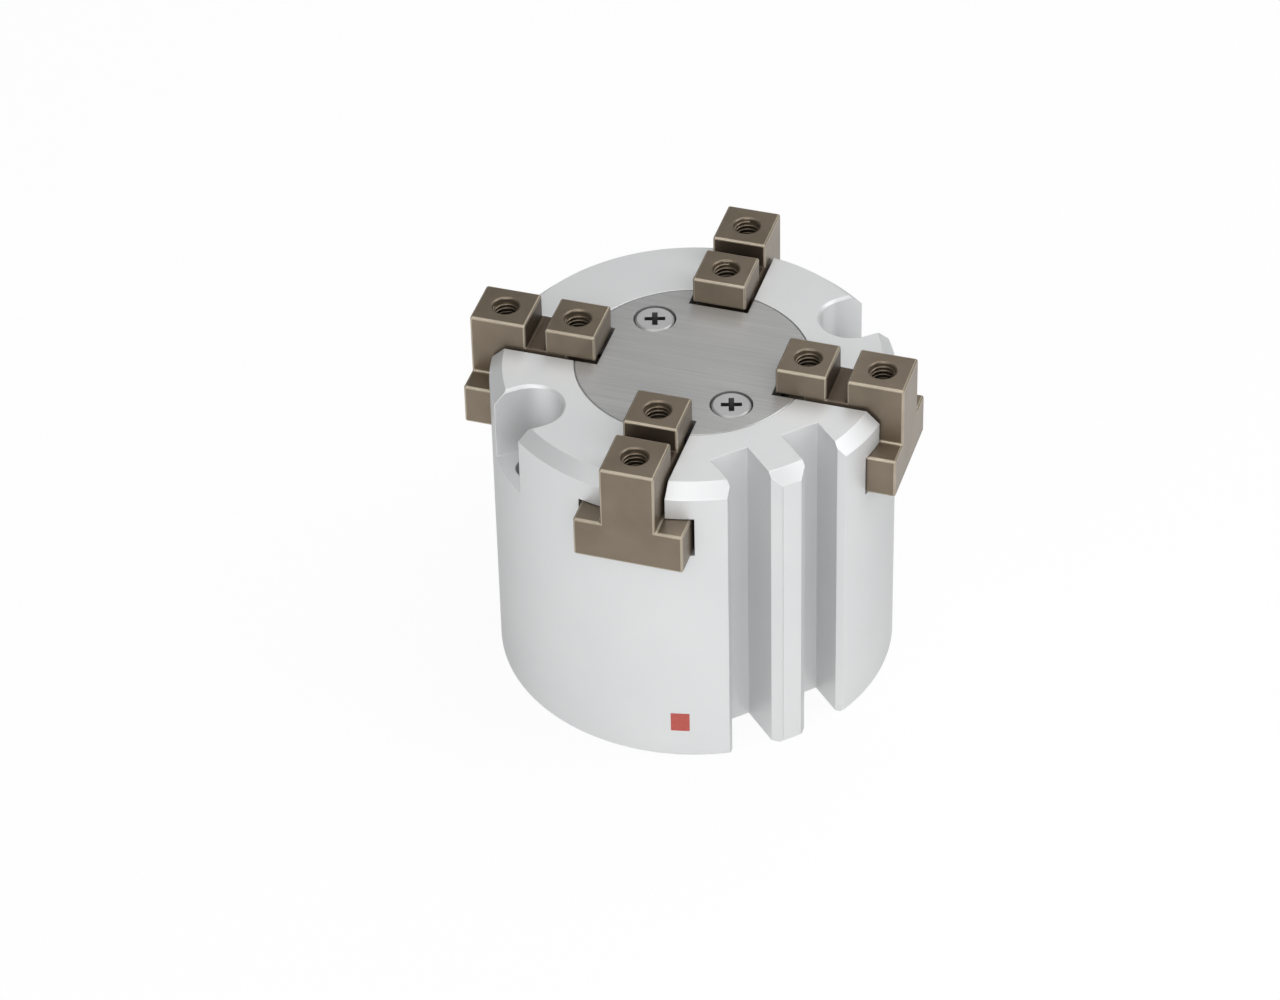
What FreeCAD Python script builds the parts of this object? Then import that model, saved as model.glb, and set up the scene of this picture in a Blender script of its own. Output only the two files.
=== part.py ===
"""Four-finger pneumatic gripper with a round body.

A piston in the lower bore lifts and lowers a wedge cam. Four fingers slide
radially in T-slots, and each one holds an inclined rail of the cam, so all
four move together. The model is in millimetres with the mounting face on
z = 0, +Z towards the fingers, and it is drawn with the fingers open: piston
and cam at the top of their travel.
"""
import FreeCAD, Part
import os
import re
import Sketcher

# Driving sizes: name, millimetres (or degrees), meaning
SIZES = (
    ("body_dia", 62.0, "outside of the body"),
    ("rim_chamfer", 2.0, "chamfer round the top rim"),
    ("base_chamfer", 0.5, "chamfer round the bottom rim"),
    ("bore_dia", 40.0, "cylinder bore"),
    ("ring_recess", 1.1, "mounting face to retaining ring"),
    ("ring_thick", 1.75, "retaining ring, along the bore"),
    ("ring_width", 3.4, "retaining ring, across its section"),
    ("ring_groove_depth", 1.25, "retaining ring groove into the bore wall"),
    ("ring_mouth", 11.0, "opening between the ends of the retaining ring"),
    ("ring_ear_dia", 5.0, "round ends of the retaining ring"),
    ("ring_ear_step", 2.0, "plier hole past the edge of the ring's opening"),
    ("ring_ear_hole", 2.0, "plier hole in each end of the retaining ring"),
    ("cap_thick", 5.0, "end cap"),
    ("end_gap", 0.4, "gap left at each end of a travel"),
    ("piston_stroke", 6.0, "travel of piston and cam"),
    ("finger_stroke", 4.0, "travel of each finger"),
    ("piston_thick", 9.8, "piston"),
    ("piston_step", 1.2, "height of the air step on both piston faces"),
    ("piston_step_depth", 2.5, "how far the air step is turned down"),
    ("partition_thick", 4.5, "wall between cylinder and cam chamber"),
    ("rod_dia", 10.0, "piston rod"),
    ("rod_seat_depth", 4.0, "rod end sunk into the piston"),
    ("rod_tap_depth", 7.0, "tapped hole in each end of the rod"),
    ("seal_section", 2.0, "section of the O-rings"),
    ("seal_side_gap", 0.1, "O-ring to each side of its groove"),
    ("cap_seal_height", 1.4, "end cap face to its O-ring groove"),
    ("piston_land", 0.8, "piston lands beside the seal and the magnet"),
    ("magnet_thick", 2.4, "magnet ring, along the bore"),
    ("magnet_depth", 3.2, "magnet groove into the piston"),
    ("cover_dia", 36.0, "cover plate"),
    ("cover_thick", 4.0, "cover plate"),
    ("cover_chamfer", 0.3, "chamfer round the cover plate"),
    ("cover_pitch", 12.2, "cover screws and dowels from the centre"),
    ("cover_turn", -45.0, "direction of the front cover screw"),
    ("cover_screw_dia", 3.0, "cover screw shank"),
    ("cover_screw_length", 11.0, "cover screw under its head"),
    ("cover_head_dia", 6.0, "cover screw head"),
    ("cover_head_height", 2.0, "cover screw head"),
    ("recess_wide", 0.9, "arm of the cross recess"),
    ("recess_long", 3.4, "cross recess from tip to tip"),
    ("recess_deep", 1.1, "cross recess"),
    ("cover_dowel_dia", 3.0, "cover dowel"),
    ("cover_dowel_length", 6.0, "cover dowel"),
    ("cover_dowel_grip", 2.0, "cover dowel inside the cover plate"),
    ("dowel_chamfer", 0.3, "chamfer on the ends of a dowel"),
    ("core_dia", 10.0, "solid middle of the cam"),
    ("core_gap", 1.5, "room round the middle of the cam"),
    ("hook_height", 6.85, "length of rail that a finger holds, along Z"),
    ("hook_margin", 0.2, "rail past each end of the finger's hook"),
    ("rail_depth", 2.2, "rail head of the cam, radially"),
    ("rail_width", 5.0, "rail head of the cam, across"),
    ("web_depth", 2.2, "rail web of the cam, radially"),
    ("web_width", 2.6, "rail web of the cam, across"),
    ("lip_depth", 2.0, "lips of the finger's hook, radially"),
    ("hook_wall", 3.2, "metal behind the rail in the finger's hook"),
    ("stem_gap", 0.7, "stem of the finger to the rail"),
    ("cam_screw_dia", 4.0, "socket screws of cam and piston"),
    ("tap_spare", 1.0, "tapped hole past the tip of its screw"),
    ("socket_head_dia", 7.0, "socket screw head"),
    ("socket_head_height", 3.9, "socket screw head"),
    ("socket_across", 3.0, "hexagon socket across flats"),
    ("socket_deep", 2.2, "hexagon socket"),
    ("socket_sink", 0.4, "socket screw head below the face it is sunk in"),
    ("finger_overhang", 3.2, "open finger past the body"),
    ("finger_width", 8.5, "neck and pads of a finger"),
    ("finger_chamfer", 0.45, "edge chamfer of a finger"),
    ("lug_width", 17.0, "foot of the T of a finger"),
    ("lug_height", 6.8, "foot of the T of a finger"),
    ("lug_cover", 5.7, "metal of the body over the foot of the T"),
    ("pad_height", 4.5, "pads above the top face"),
    ("pad_gap", 0.2, "inner pad above the cover plate"),
    ("outer_pad", 8.9, "outer pad, radially"),
    ("slot_reach", 3.7, "finger slots into the edge of the cover plate, at least"),
    ("key_slot", 3.1, "cross slot between the pads"),
    ("key_depth", 4.1, "cross slot between the pads"),
    ("inner_pad", 8.0, "inner pad, radially"),
    ("jaw_hole_dia", 3.3, "tapped hole in each pad"),
    ("jaw_hole_depth", 8.0, "tapped hole in the outer pad"),
    ("bolt_inset", 4.5, "mounting bolts from the outside of the body"),
    ("bolt_turn", 40.0, "direction of the first mounting bolt"),
    ("bolt_hole_dia", 5.5, "mounting bolt hole"),
    ("notch_dia", 9.6, "open seat of a mounting bolt head"),
    ("notch_depth", 12.0, "open seat below the top face"),
    ("groove_turn", -45.0, "direction of the rib between the sensor grooves"),
    ("groove_wide", 6.2, "sensor groove"),
    ("groove_wall", 2.3, "wall between cylinder bore and sensor groove"),
    ("groove_chamfer", 1.3, "chamfer at the mouth of a sensor groove"),
    ("rib_wide", 5.8, "rib between the sensor grooves"),
    ("port_turn", 135.0, "direction of the air ports"),
    ("port_dia", 4.2, "tapped air port"),
    ("port_depth", 5.5, "tapped air port"),
    ("air_dia", 1.4, "air passage from port to bore"),
    ("air_inset", 0.8, "air passage from the end of the bore"),
    ("base_dowel_dia", 4.0, "dowel hole in the mounting face"),
    ("base_dowel_depth", 5.0, "dowel hole in the mounting face"),
    ("base_dowel_inset", 5.0, "dowel holes from the outside of the body"),
    ("slide_gap", 0.1, "sliding faces, each side"),
    ("travel_gap", 0.3, "room left at the end of a finger's travel"),
    ("piston_gap", 0.1, "piston in the bore, radially"),
    ("rod_gap", 0.05, "rod in the partition, radially"),
    ("seat_gap", 0.1, "pieces that drop into a seat, radially"),
    ("thread_gap", 0.05, "screw in its tapped hole, radially"),
    ("seal_gap", 0.05, "O-ring to the walls that it seals"),
    ("cut_over", 1.0, "how far a cut runs past the solid"),
)

# Worked-out sizes: name, formula
PLACES = (
    ("body_r", "body_dia / 2"),
    ("bore_r", "bore_dia / 2"),
    ("ring_groove_r", "bore_r + ring_groove_depth"),
    ("ring_out_r", "ring_groove_r - seat_gap"),
    ("ring_in_r", "ring_out_r - ring_width"),
    ("ear_y", "ring_mouth / 2 + ring_ear_step"),
    ("ear_reach", "ring_out_r - ring_ear_dia / 2 - seat_gap"),
    ("ear_x", "sqrt(ear_reach * ear_reach - ear_y * ear_y)"),
    ("cap_z", "ring_recess + ring_thick"),
    ("cap_top", "cap_z + cap_thick"),
    ("cap_r", "bore_r - seat_gap"),
    ("seal_r", "seal_section / 2"),
    ("groove_high", "seal_section + 2 * seal_side_gap"),
    ("bore_seal_r", "bore_r - seal_gap - seal_r"),
    ("bore_groove_r", "bore_seal_r - seal_r - seal_gap"),
    ("cap_seal_z", "cap_z + cap_seal_height"),
    ("piston_z", "cap_top + end_gap + piston_stroke"),
    ("piston_top", "piston_z + piston_thick"),
    ("piston_r", "bore_r - piston_gap"),
    ("step_r", "piston_r - piston_step_depth"),
    ("piston_seal_z", "piston_z + piston_step + piston_land"),
    ("magnet_z", "piston_seal_z + groove_high + piston_land"),
    ("magnet_r", "piston_r - magnet_depth"),
    ("partition_z", "piston_top + end_gap"),
    ("chamber_z", "partition_z + partition_thick"),
    ("rod_r", "rod_dia / 2"),
    ("rod_hole_r", "rod_r + rod_gap"),
    ("rod_seal_r", "rod_r + seal_gap + seal_r"),
    ("rod_groove_r", "rod_seal_r + seal_r + seal_gap"),
    ("rod_seal_z", "partition_z + (partition_thick - groove_high) / 2"),
    ("rod_z", "piston_top - rod_seat_depth"),
    ("cam_z", "chamber_z + end_gap + piston_stroke"),
    ("cam_height", "hook_height + 2 * hook_margin + piston_stroke"),
    ("cam_top", "cam_z + cam_height"),
    ("cover_z", "cam_top + end_gap"),
    ("body_height", "cover_z + cover_thick"),
    ("cover_r", "cover_dia / 2"),
    ("pocket_r", "cover_r + seat_gap"),
    ("core_r", "core_dia / 2"),
    ("chamber_r", "core_r + core_gap"),
    ("wedge", "finger_stroke / piston_stroke"),
    ("rail_top_r", "core_r + web_depth + rail_depth"),
    ("rail_low_r", "rail_top_r + wedge * cam_height"),
    ("screw_hole_r", "cam_screw_dia / 2 + thread_gap"),
    ("socket_r", "socket_head_dia / 2"),
    ("socket_seat_r", "socket_r + seat_gap"),
    ("cam_seat_z", "cam_top - socket_sink - socket_head_height"),
    ("piston_seat_z", "piston_z + socket_sink + socket_head_height"),
    ("screw_grip", "rod_tap_depth - tap_spare"),
    ("hook_z", "cam_z + hook_margin"),
    ("hook_top", "hook_z + hook_height"),
    ("hook_drop", "wedge * hook_height"),
    ("hook_rail_r", "rail_low_r - wedge * hook_margin"),
    ("hook_low_r", "hook_rail_r - rail_depth - lip_depth"),
    ("hook_high_r", "hook_low_r - hook_drop"),
    ("hook_back_r", "hook_rail_r + slide_gap + hook_wall"),
    ("stem_in_r", "hook_rail_r - hook_drop + stem_gap"),
    ("lug_top", "body_height - lug_cover"),
    ("lug_z", "lug_top - lug_height"),
    ("pad_z", "body_height + pad_gap"),
    ("pad_top", "body_height + pad_height"),
    ("key_z", "pad_top - key_depth"),
    ("pad_out_r", "body_r + finger_overhang"),
    ("outer_pad_r", "pad_out_r - outer_pad"),
    ("inner_pad_r", "outer_pad_r - key_slot"),
    ("pad_in_r", "inner_pad_r - inner_pad"),
    ("neck_in_r", "pad_in_r + finger_stroke + travel_gap + slide_gap"),
    ("slot_in_r", "min(neck_in_r - finger_stroke - travel_gap, cover_r - slot_reach)"),
    ("cam_slot_r", "hook_back_r + travel_gap"),
    ("neck_half", "finger_width / 2 + slide_gap"),
    ("lug_half", "lug_width / 2 + slide_gap"),
    ("rail_low_cut_r", "hook_rail_r + wedge * cut_over"),
    ("rail_top_cut_r", "hook_rail_r - hook_drop - wedge * cut_over"),
    ("rail_half", "rail_width / 2 + slide_gap"),
    ("bolt_r", "body_r - bolt_inset"),
    ("notch_z", "body_height - notch_depth"),
    ("groove_floor", "bore_r + groove_wall"),
    ("rib_half", "rib_wide / 2"),
    ("groove_side", "rib_half + groove_wide"),
    ("groove_edge", "sqrt(body_r * body_r - groove_side * groove_side)"),
    ("rib_edge", "sqrt(body_r * body_r - rib_half * rib_half)"),
    ("groove_out", "body_r + groove_chamfer + cut_over"),
    ("low_port_z", "cap_top + air_inset"),
    ("high_port_z", "partition_z - air_inset"),
    ("port_floor_r", "body_r - port_depth"),
    ("base_dowel_r", "body_r - base_dowel_inset"),
    ("cover_dowel_z", "cover_z + cover_dowel_grip - cover_dowel_length"),
    ("cover_head_z", "body_height - cover_head_height"),
    ("cover_tip_z", "cover_head_z - cover_screw_length"),
)

# How many mounting bolts the body takes
BOLT_COUNT = 2

# Fingers by the direction that they point in
FINGERS = {"finger_right": 0, "finger_back": 90, "finger_left": 180, "finger_front": 270}

SHEET_OF = {name: "Sizes" for name, _, _ in SIZES}
SHEET_OF.update({name: "Places" for name, _ in PLACES})
WORD = re.compile(r"[a-z][a-z_]*")
LEVEL_TOLERANCE = 1e-4

doc = FreeCAD.newDocument("gripper")
pieces = []


def bound(formula):
    """A formula with each size's name led by the sheet that holds it."""
    def led(match):
        name = match.group(0)
        return SHEET_OF[name] + "." + name if name in SHEET_OF else name
    return WORD.sub(led, formula)


def fill_sheets():
    """Write the driving sizes and the worked-out ones to their sheets."""
    sizes = doc.addObject("Spreadsheet::Sheet", "Sizes")
    for row, (name, size, meaning) in enumerate(SIZES, 1):
        sizes.set("A%d" % row, meaning)
        sizes.set("B%d" % row, str(size))
        sizes.setAlias("B%d" % row, name)
    places = doc.addObject("Spreadsheet::Sheet", "Places")
    for row, (name, formula) in enumerate(PLACES, 1):
        places.set("B%d" % row, "=" + bound(formula))
        places.setAlias("B%d" % row, name)
    doc.recompute()
    return sizes


sheet = fill_sheets()


def value(formula):
    """The number that a formula of sizes gives."""
    return float(sheet.evalExpression(bound(formula)))


def new_body(label):
    """An empty sub-part."""
    body = doc.addObject("PartDesign::Body", label)
    body.Label = label
    pieces.append(body)
    return body


def origin(body, role):
    """One of the body's own axes or planes."""
    return [item for item in body.Origin.OriginFeatures if item.Role == role][0]


def new_sketch(body, name, plane, offset="0", turn="0"):
    """A sketch on one of the body's planes, moved along it and turned in it."""
    sketch = body.newObject("Sketcher::SketchObject", name)
    sketch.AttachmentSupport = [(origin(body, plane), "")]
    sketch.MapMode = "FlatFace"
    spin = FreeCAD.Rotation(FreeCAD.Vector(0, 0, 1), value(turn))
    sketch.AttachmentOffset = FreeCAD.Placement(FreeCAD.Vector(0, 0, value(offset)), spin)
    if offset != "0":
        sketch.setExpression(".AttachmentOffset.Base.z", bound(offset))
    if turn != "0":
        sketch.setExpression(".AttachmentOffset.Rotation.Angle", bound(turn))
    return sketch


def hold(sketch, edge, point, x, y):
    """Fix one point of a sketch at two formulas."""
    for kind, formula, axis in (("DistanceX", x, -2), ("DistanceY", y, -1)):
        if formula == "0":
            sketch.addConstraint(Sketcher.Constraint("PointOnObject", edge, point, axis))
            continue
        distance = Sketcher.Constraint(kind, -1, 1, edge, point, value(formula))
        number = sketch.addConstraint(distance)
        sketch.setExpression("Constraints[%d]" % number, bound(formula))


def outline(sketch, corners):
    """Draw a closed outline with straight sides through the given corners."""
    first = sketch.GeometryCount
    count = len(corners)
    points = [FreeCAD.Vector(value(x), value(y), 0) for x, y in corners]
    for index in range(count):
        sketch.addGeometry(Part.LineSegment(points[index], points[(index + 1) % count]))
    for index, (x, y) in enumerate(corners):
        after = (index + 1) % count
        sketch.addConstraint(Sketcher.Constraint("Coincident", first + index, 2, first + after, 1))
        hold(sketch, first + index, 1, x, y)
    return sketch


def circle(sketch, x, y, radius):
    """Draw a circle."""
    centre = FreeCAD.Vector(value(x), value(y), 0)
    ring = Part.Circle(centre, FreeCAD.Vector(0, 0, 1), value(radius))
    edge = sketch.addGeometry(ring)
    number = sketch.addConstraint(Sketcher.Constraint("Radius", edge, value(radius)))
    sketch.setExpression("Constraints[%d]" % number, bound(radius))
    if x == "0" and y == "0":
        sketch.addConstraint(Sketcher.Constraint("Coincident", edge, 3, -1, 1))
    else:
        hold(sketch, edge, 3, x, y)
    return sketch


def rectangle(sketch, left, right, low, high):
    """Draw a rectangle from its four limits."""
    return outline(sketch, ((left, low), (right, low), (right, high), (left, high)))


def pad(body, sketch, length, symmetric=False):
    """Raise a sketch into metal."""
    feature = body.newObject("PartDesign::Pad", sketch.Name + "_pad")
    feature.Profile = sketch
    feature.setExpression("Length", bound(length))
    if symmetric:
        feature.SideType = "Symmetric"
    doc.recompute()
    return feature


def pocket(body, sketch, depth=None, forward=False, symmetric=False):
    """Cut a sketch out of the metal: against its normal, or forward along it."""
    before = body.Tip.Shape.Volume
    feature = body.newObject("PartDesign::Pocket", sketch.Name + "_cut")
    feature.Profile = sketch
    feature.Reversed = forward
    if symmetric:
        feature.SideType = "Symmetric"
    if depth is None:
        feature.Type = "ThroughAll"
    else:
        feature.setExpression("Length", bound(depth))
    doc.recompute()
    if feature.Shape.Volume >= before:
        raise ValueError(feature.Name + " cuts nothing")
    return feature


def turned(label, corners):
    """A sub-part turned about Z from its half section (radius, height)."""
    body = new_body(label)
    sketch = outline(new_sketch(body, label + "_section", "XZ_Plane"), corners)
    feature = body.newObject("PartDesign::Revolution", label + "_turning")
    feature.Profile = sketch
    feature.ReferenceAxis = (sketch, ["V_Axis"])
    feature.Angle = 360
    doc.recompute()
    return body


def around(body, name, features, count):
    """Repeat features evenly about Z."""
    pattern = body.newObject("PartDesign::PolarPattern", name)
    pattern.Originals = features
    pattern.Axis = (origin(body, "Z_Axis"), [""])
    pattern.Angle = 360
    pattern.Occurrences = count
    body.Tip = pattern
    doc.recompute()
    return pattern


def chamfer_at(body, name, height, size):
    """Chamfer every edge of a body that lies at one height."""
    base = body.Tip
    level = value(height)
    names = []
    for number, edge in enumerate(base.Shape.Edges, 1):
        box = edge.BoundBox
        if abs(box.ZMin - level) < LEVEL_TOLERANCE and abs(box.ZMax - level) < LEVEL_TOLERANCE:
            names.append("Edge%d" % number)
    feature = body.newObject("PartDesign::Chamfer", name)
    feature.Base = (base, names)
    feature.setExpression("Size", bound(size))
    doc.recompute()
    return feature


def o_ring(label, radius, groove_z):
    """An O-ring in the middle of its groove."""
    ring = doc.addObject("Part::Torus", label)
    ring.Label = label
    ring.setExpression("Radius1", bound(radius))
    ring.setExpression("Radius2", bound("seal_r"))
    ring.setExpression(".Placement.Base.z", bound(groove_z + " + groove_high / 2"))
    pieces.append(ring)
    return ring


def place(body, turn, reach="0"):
    """Turn a sub-part about Z, after moving it out along X."""
    angle = bound(turn)
    body.setExpression(".Placement.Rotation.Angle", angle)
    body.setExpression(".Placement.Base.x", "(%s) * cos(%s)" % (bound(reach), angle))
    body.setExpression(".Placement.Base.y", "(%s) * sin(%s)" % (bound(reach), angle))


def make_body():
    """Round housing: bore, cam chamber, finger slots, sensor grooves and mounting holes."""
    section = (
        ("body_r - base_chamfer", "0"), ("body_r", "base_chamfer"),
        ("body_r", "body_height - rim_chamfer"), ("body_r - rim_chamfer", "body_height"),
        ("pocket_r", "body_height"), ("pocket_r", "cover_z"),
        ("chamber_r", "cover_z"), ("chamber_r", "chamber_z"),
        ("rod_hole_r", "chamber_z"), ("rod_hole_r", "rod_seal_z + groove_high"),
        ("rod_groove_r", "rod_seal_z + groove_high"), ("rod_groove_r", "rod_seal_z"),
        ("rod_hole_r", "rod_seal_z"), ("rod_hole_r", "partition_z"),
        ("bore_r", "partition_z"), ("bore_r", "cap_z"),
        ("ring_groove_r", "cap_z"), ("ring_groove_r", "ring_recess"),
        ("bore_r", "ring_recess"), ("bore_r", "0"),
    )
    body = turned("body", section)

    # Four T-slots for the fingers, and the deep slots where their hooks meet the cam
    slot = new_sketch(body, "finger_slot", "YZ_Plane", "slot_in_r")
    outline(slot, (
        ("-lug_half", "lug_z - slide_gap"), ("lug_half", "lug_z - slide_gap"),
        ("lug_half", "lug_top + slide_gap"), ("neck_half", "lug_top + slide_gap"),
        ("neck_half", "body_height + cut_over"), ("-neck_half", "body_height + cut_over"),
        ("-neck_half", "lug_top + slide_gap"), ("-lug_half", "lug_top + slide_gap"),
    ))
    finger_slot = pocket(body, slot, "body_r - slot_in_r + cut_over", forward=True)
    deep = new_sketch(body, "cam_slot", "XY_Plane", "chamber_z")
    rectangle(deep, "0", "cam_slot_r", "-neck_half", "neck_half")
    cam_slot = pocket(body, deep, "cover_z - chamber_z", forward=True)
    around(body, "finger_slots", [finger_slot, cam_slot], len(FINGERS))

    # Two bolt holes whose head seats are open at the side of the body
    seat = new_sketch(body, "bolt_seat", "XY_Plane", "body_height", "bolt_turn")
    circle(seat, "bolt_r", "0", "notch_dia / 2")
    bolt_seat = pocket(body, seat, "notch_depth")
    mouth = new_sketch(body, "bolt_mouth", "XY_Plane", "body_height", "bolt_turn")
    rectangle(mouth, "bolt_r", "body_r + cut_over", "-notch_dia / 2", "notch_dia / 2")
    bolt_mouth = pocket(body, mouth, "notch_depth")
    hole = new_sketch(body, "bolt_hole", "XY_Plane", "0", "bolt_turn")
    circle(hole, "bolt_r", "0", "bolt_hole_dia / 2")
    bolt_hole = pocket(body, hole, forward=True)
    around(body, "mounting_bolts", [bolt_seat, bolt_mouth, bolt_hole], BOLT_COUNT)

    # Two sensor grooves down the whole side, with a rib between them
    grooves = new_sketch(body, "sensor_grooves", "XY_Plane", "0", "groove_turn")
    for sign in ("", "-"):
        outline(grooves, (
            ("groove_floor", sign + "rib_half"), ("groove_floor", sign + "groove_side"),
            ("groove_edge - groove_chamfer", sign + "groove_side"),
            ("groove_out", sign + "(groove_side + groove_chamfer + groove_out - groove_edge)"),
            ("groove_out", sign + "(rib_half - groove_chamfer)"),
            ("rib_edge", sign + "(rib_half - groove_chamfer)"),
            ("rib_edge - groove_chamfer", sign + "rib_half"),
        ))
    pocket(body, grooves, forward=True)

    # Tapped holes and dowel holes under the cover plate
    taps = new_sketch(body, "cover_taps", "XY_Plane", "cover_z", "cover_turn")
    circle(taps, "cover_pitch", "0", "cover_screw_dia / 2 + thread_gap")
    circle(taps, "-cover_pitch", "0", "cover_screw_dia / 2 + thread_gap")
    pocket(body, taps, "cover_z - cover_tip_z + tap_spare")
    dowels = new_sketch(body, "cover_dowel_holes", "XY_Plane", "cover_z", "cover_turn")
    circle(dowels, "0", "cover_pitch", "cover_dowel_dia / 2 + thread_gap")
    circle(dowels, "0", "-cover_pitch", "cover_dowel_dia / 2 + thread_gap")
    pocket(body, dowels, "cover_z - cover_dowel_z")

    # Dowel holes in the mounting face
    base = new_sketch(body, "base_dowel_holes", "XY_Plane")
    circle(base, "0", "base_dowel_r", "base_dowel_dia / 2")
    circle(base, "0", "-base_dowel_r", "base_dowel_dia / 2")
    pocket(body, base, "base_dowel_depth", forward=True)

    # Air ports, one for each end of the bore
    for name, start, radius in (("air_passages", "bore_r - cut_over", "air_dia / 2"),
                                ("air_ports", "port_floor_r", "port_dia / 2")):
        side = new_sketch(body, name, "YZ_Plane")
        turn = value("port_turn")
        axis = FreeCAD.Vector(0, 1, 0)
        side.AttachmentOffset = FreeCAD.Placement(FreeCAD.Vector(), FreeCAD.Rotation(axis, turn))
        side.setExpression(".AttachmentOffset.Rotation.Angle", bound("port_turn"))
        side.setExpression(".AttachmentOffset.Base.x", bound("(%s) * sin(port_turn)" % start))
        side.setExpression(".AttachmentOffset.Base.z", bound("(%s) * cos(port_turn)" % start))
        circle(side, "0", "low_port_z", radius)
        circle(side, "0", "high_port_z", radius)
        pocket(body, side, forward=True)


def make_cover():
    """Cover plate over the cam, with its screws and dowels."""
    cover = turned("cover_plate", (
        ("0", "cover_z"), ("cover_r", "cover_z"), ("cover_r", "body_height - cover_chamfer"),
        ("cover_r - cover_chamfer", "body_height"), ("0", "body_height"),
    ))
    slot = new_sketch(cover, "neck_slot", "XY_Plane", "cover_z")
    rectangle(slot, "slot_in_r", "cover_r + cut_over", "-neck_half", "neck_half")
    neck_slot = pocket(cover, slot, forward=True)
    around(cover, "neck_slots", [neck_slot], len(FINGERS))
    screw_cuts = (
        ("cover_holes", "cover_z", "cover_screw_dia / 2 + seat_gap"),
        ("cover_seats", "cover_head_z", "cover_head_dia / 2 + seat_gap"),
    )
    for name, height, radius in screw_cuts:
        holes = new_sketch(cover, name, "XY_Plane", height, "cover_turn")
        circle(holes, "cover_pitch", "0", radius)
        circle(holes, "-cover_pitch", "0", radius)
        pocket(cover, holes, forward=True)
    dowels = new_sketch(cover, "cover_dowel_seats", "XY_Plane", "cover_z", "cover_turn")
    circle(dowels, "0", "cover_pitch", "cover_dowel_dia / 2 + thread_gap")
    circle(dowels, "0", "-cover_pitch", "cover_dowel_dia / 2 + thread_gap")
    pocket(cover, dowels, "cover_dowel_grip", forward=True)

    for label, turn in (("cover_screw_front", "cover_turn"), ("cover_screw_back", "cover_turn + 180")):
        screw = turned(label, (
            ("0", "cover_tip_z"), ("cover_screw_dia / 2", "cover_tip_z"),
            ("cover_screw_dia / 2", "cover_head_z"), ("cover_head_dia / 2", "cover_head_z"),
            ("cover_head_dia / 2", "body_height"), ("0", "body_height"),
        ))
        for arm, across in (("recess_long", "recess_wide"), ("recess_wide", "recess_long")):
            recess = new_sketch(screw, label + "_" + arm, "XY_Plane", "body_height")
            rectangle(recess, "-%s / 2" % arm, "%s / 2" % arm, "-%s / 2" % across, "%s / 2" % across)
            pocket(screw, recess, "recess_deep")
        place(screw, turn, "cover_pitch")

    for label, turn in (("cover_dowel_right", "cover_turn + 90"), ("cover_dowel_left", "cover_turn - 90")):
        dowel_top = "(cover_dowel_z + cover_dowel_length)"
        dowel = turned(label, (
            ("0", "cover_dowel_z"), ("cover_dowel_dia / 2 - dowel_chamfer", "cover_dowel_z"),
            ("cover_dowel_dia / 2", "cover_dowel_z + dowel_chamfer"),
            ("cover_dowel_dia / 2", dowel_top + " - dowel_chamfer"),
            ("cover_dowel_dia / 2 - dowel_chamfer", dowel_top), ("0", dowel_top),
        ))
        place(dowel, turn, "cover_pitch")


def make_end_cap():
    """End cap of the bore with its O-ring and retaining ring."""
    turned("end_cap", (
        ("0", "cap_z"), ("cap_r", "cap_z"), ("cap_r", "cap_seal_z"),
        ("bore_groove_r", "cap_seal_z"), ("bore_groove_r", "cap_seal_z + groove_high"),
        ("cap_r", "cap_seal_z + groove_high"), ("cap_r", "cap_top"), ("0", "cap_top"),
    ))
    o_ring("end_cap_seal", "bore_seal_r", "cap_seal_z")

    ring = turned("retaining_ring", (
        ("ring_in_r", "ring_recess"), ("ring_out_r", "ring_recess"),
        ("ring_out_r", "cap_z"), ("ring_in_r", "cap_z"),
    ))
    mouth = new_sketch(ring, "ring_mouth_gap", "XY_Plane", "ring_recess")
    rectangle(mouth, "0", "ring_groove_r", "-ring_mouth / 2", "ring_mouth / 2")
    pocket(ring, mouth, forward=True)
    for name, sign in (("left_ear", ""), ("right_ear", "-")):
        ear = new_sketch(ring, name, "XY_Plane", "ring_recess")
        circle(ear, "ear_x", sign + "ear_y", "ring_ear_dia / 2")
        pad(ring, ear, "ring_thick")
        hole = new_sketch(ring, name + "_hole", "XY_Plane", "ring_recess")
        circle(hole, "ear_x", sign + "ear_y", "ring_ear_hole / 2")
        pocket(ring, hole, forward=True)


def socket_screw(label, seat_z, length, up):
    """Socket screw on Z with its head above or below its seat."""
    sign = "+" if up else "-"
    top = "%s %s socket_head_height" % (seat_z, sign)
    tip = "%s %s (%s)" % (seat_z, "-" if up else "+", length)
    screw = turned(label, (
        ("0", tip), ("cam_screw_dia / 2", tip), ("cam_screw_dia / 2", seat_z),
        ("socket_r", seat_z), ("socket_r", top), ("0", top),
    ))
    flat = "socket_across / 2"
    corner = "socket_across / sqrt(3)"
    hexagon = new_sketch(screw, label + "_socket", "XY_Plane", top)
    outline(hexagon, (
        (corner, "0"), (corner + " / 2", flat), ("-" + corner + " / 2", flat),
        ("-" + corner, "0"), ("-" + corner + " / 2", "-" + flat), (corner + " / 2", "-" + flat),
    ))
    pocket(screw, hexagon, "socket_deep", forward=not up)


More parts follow.
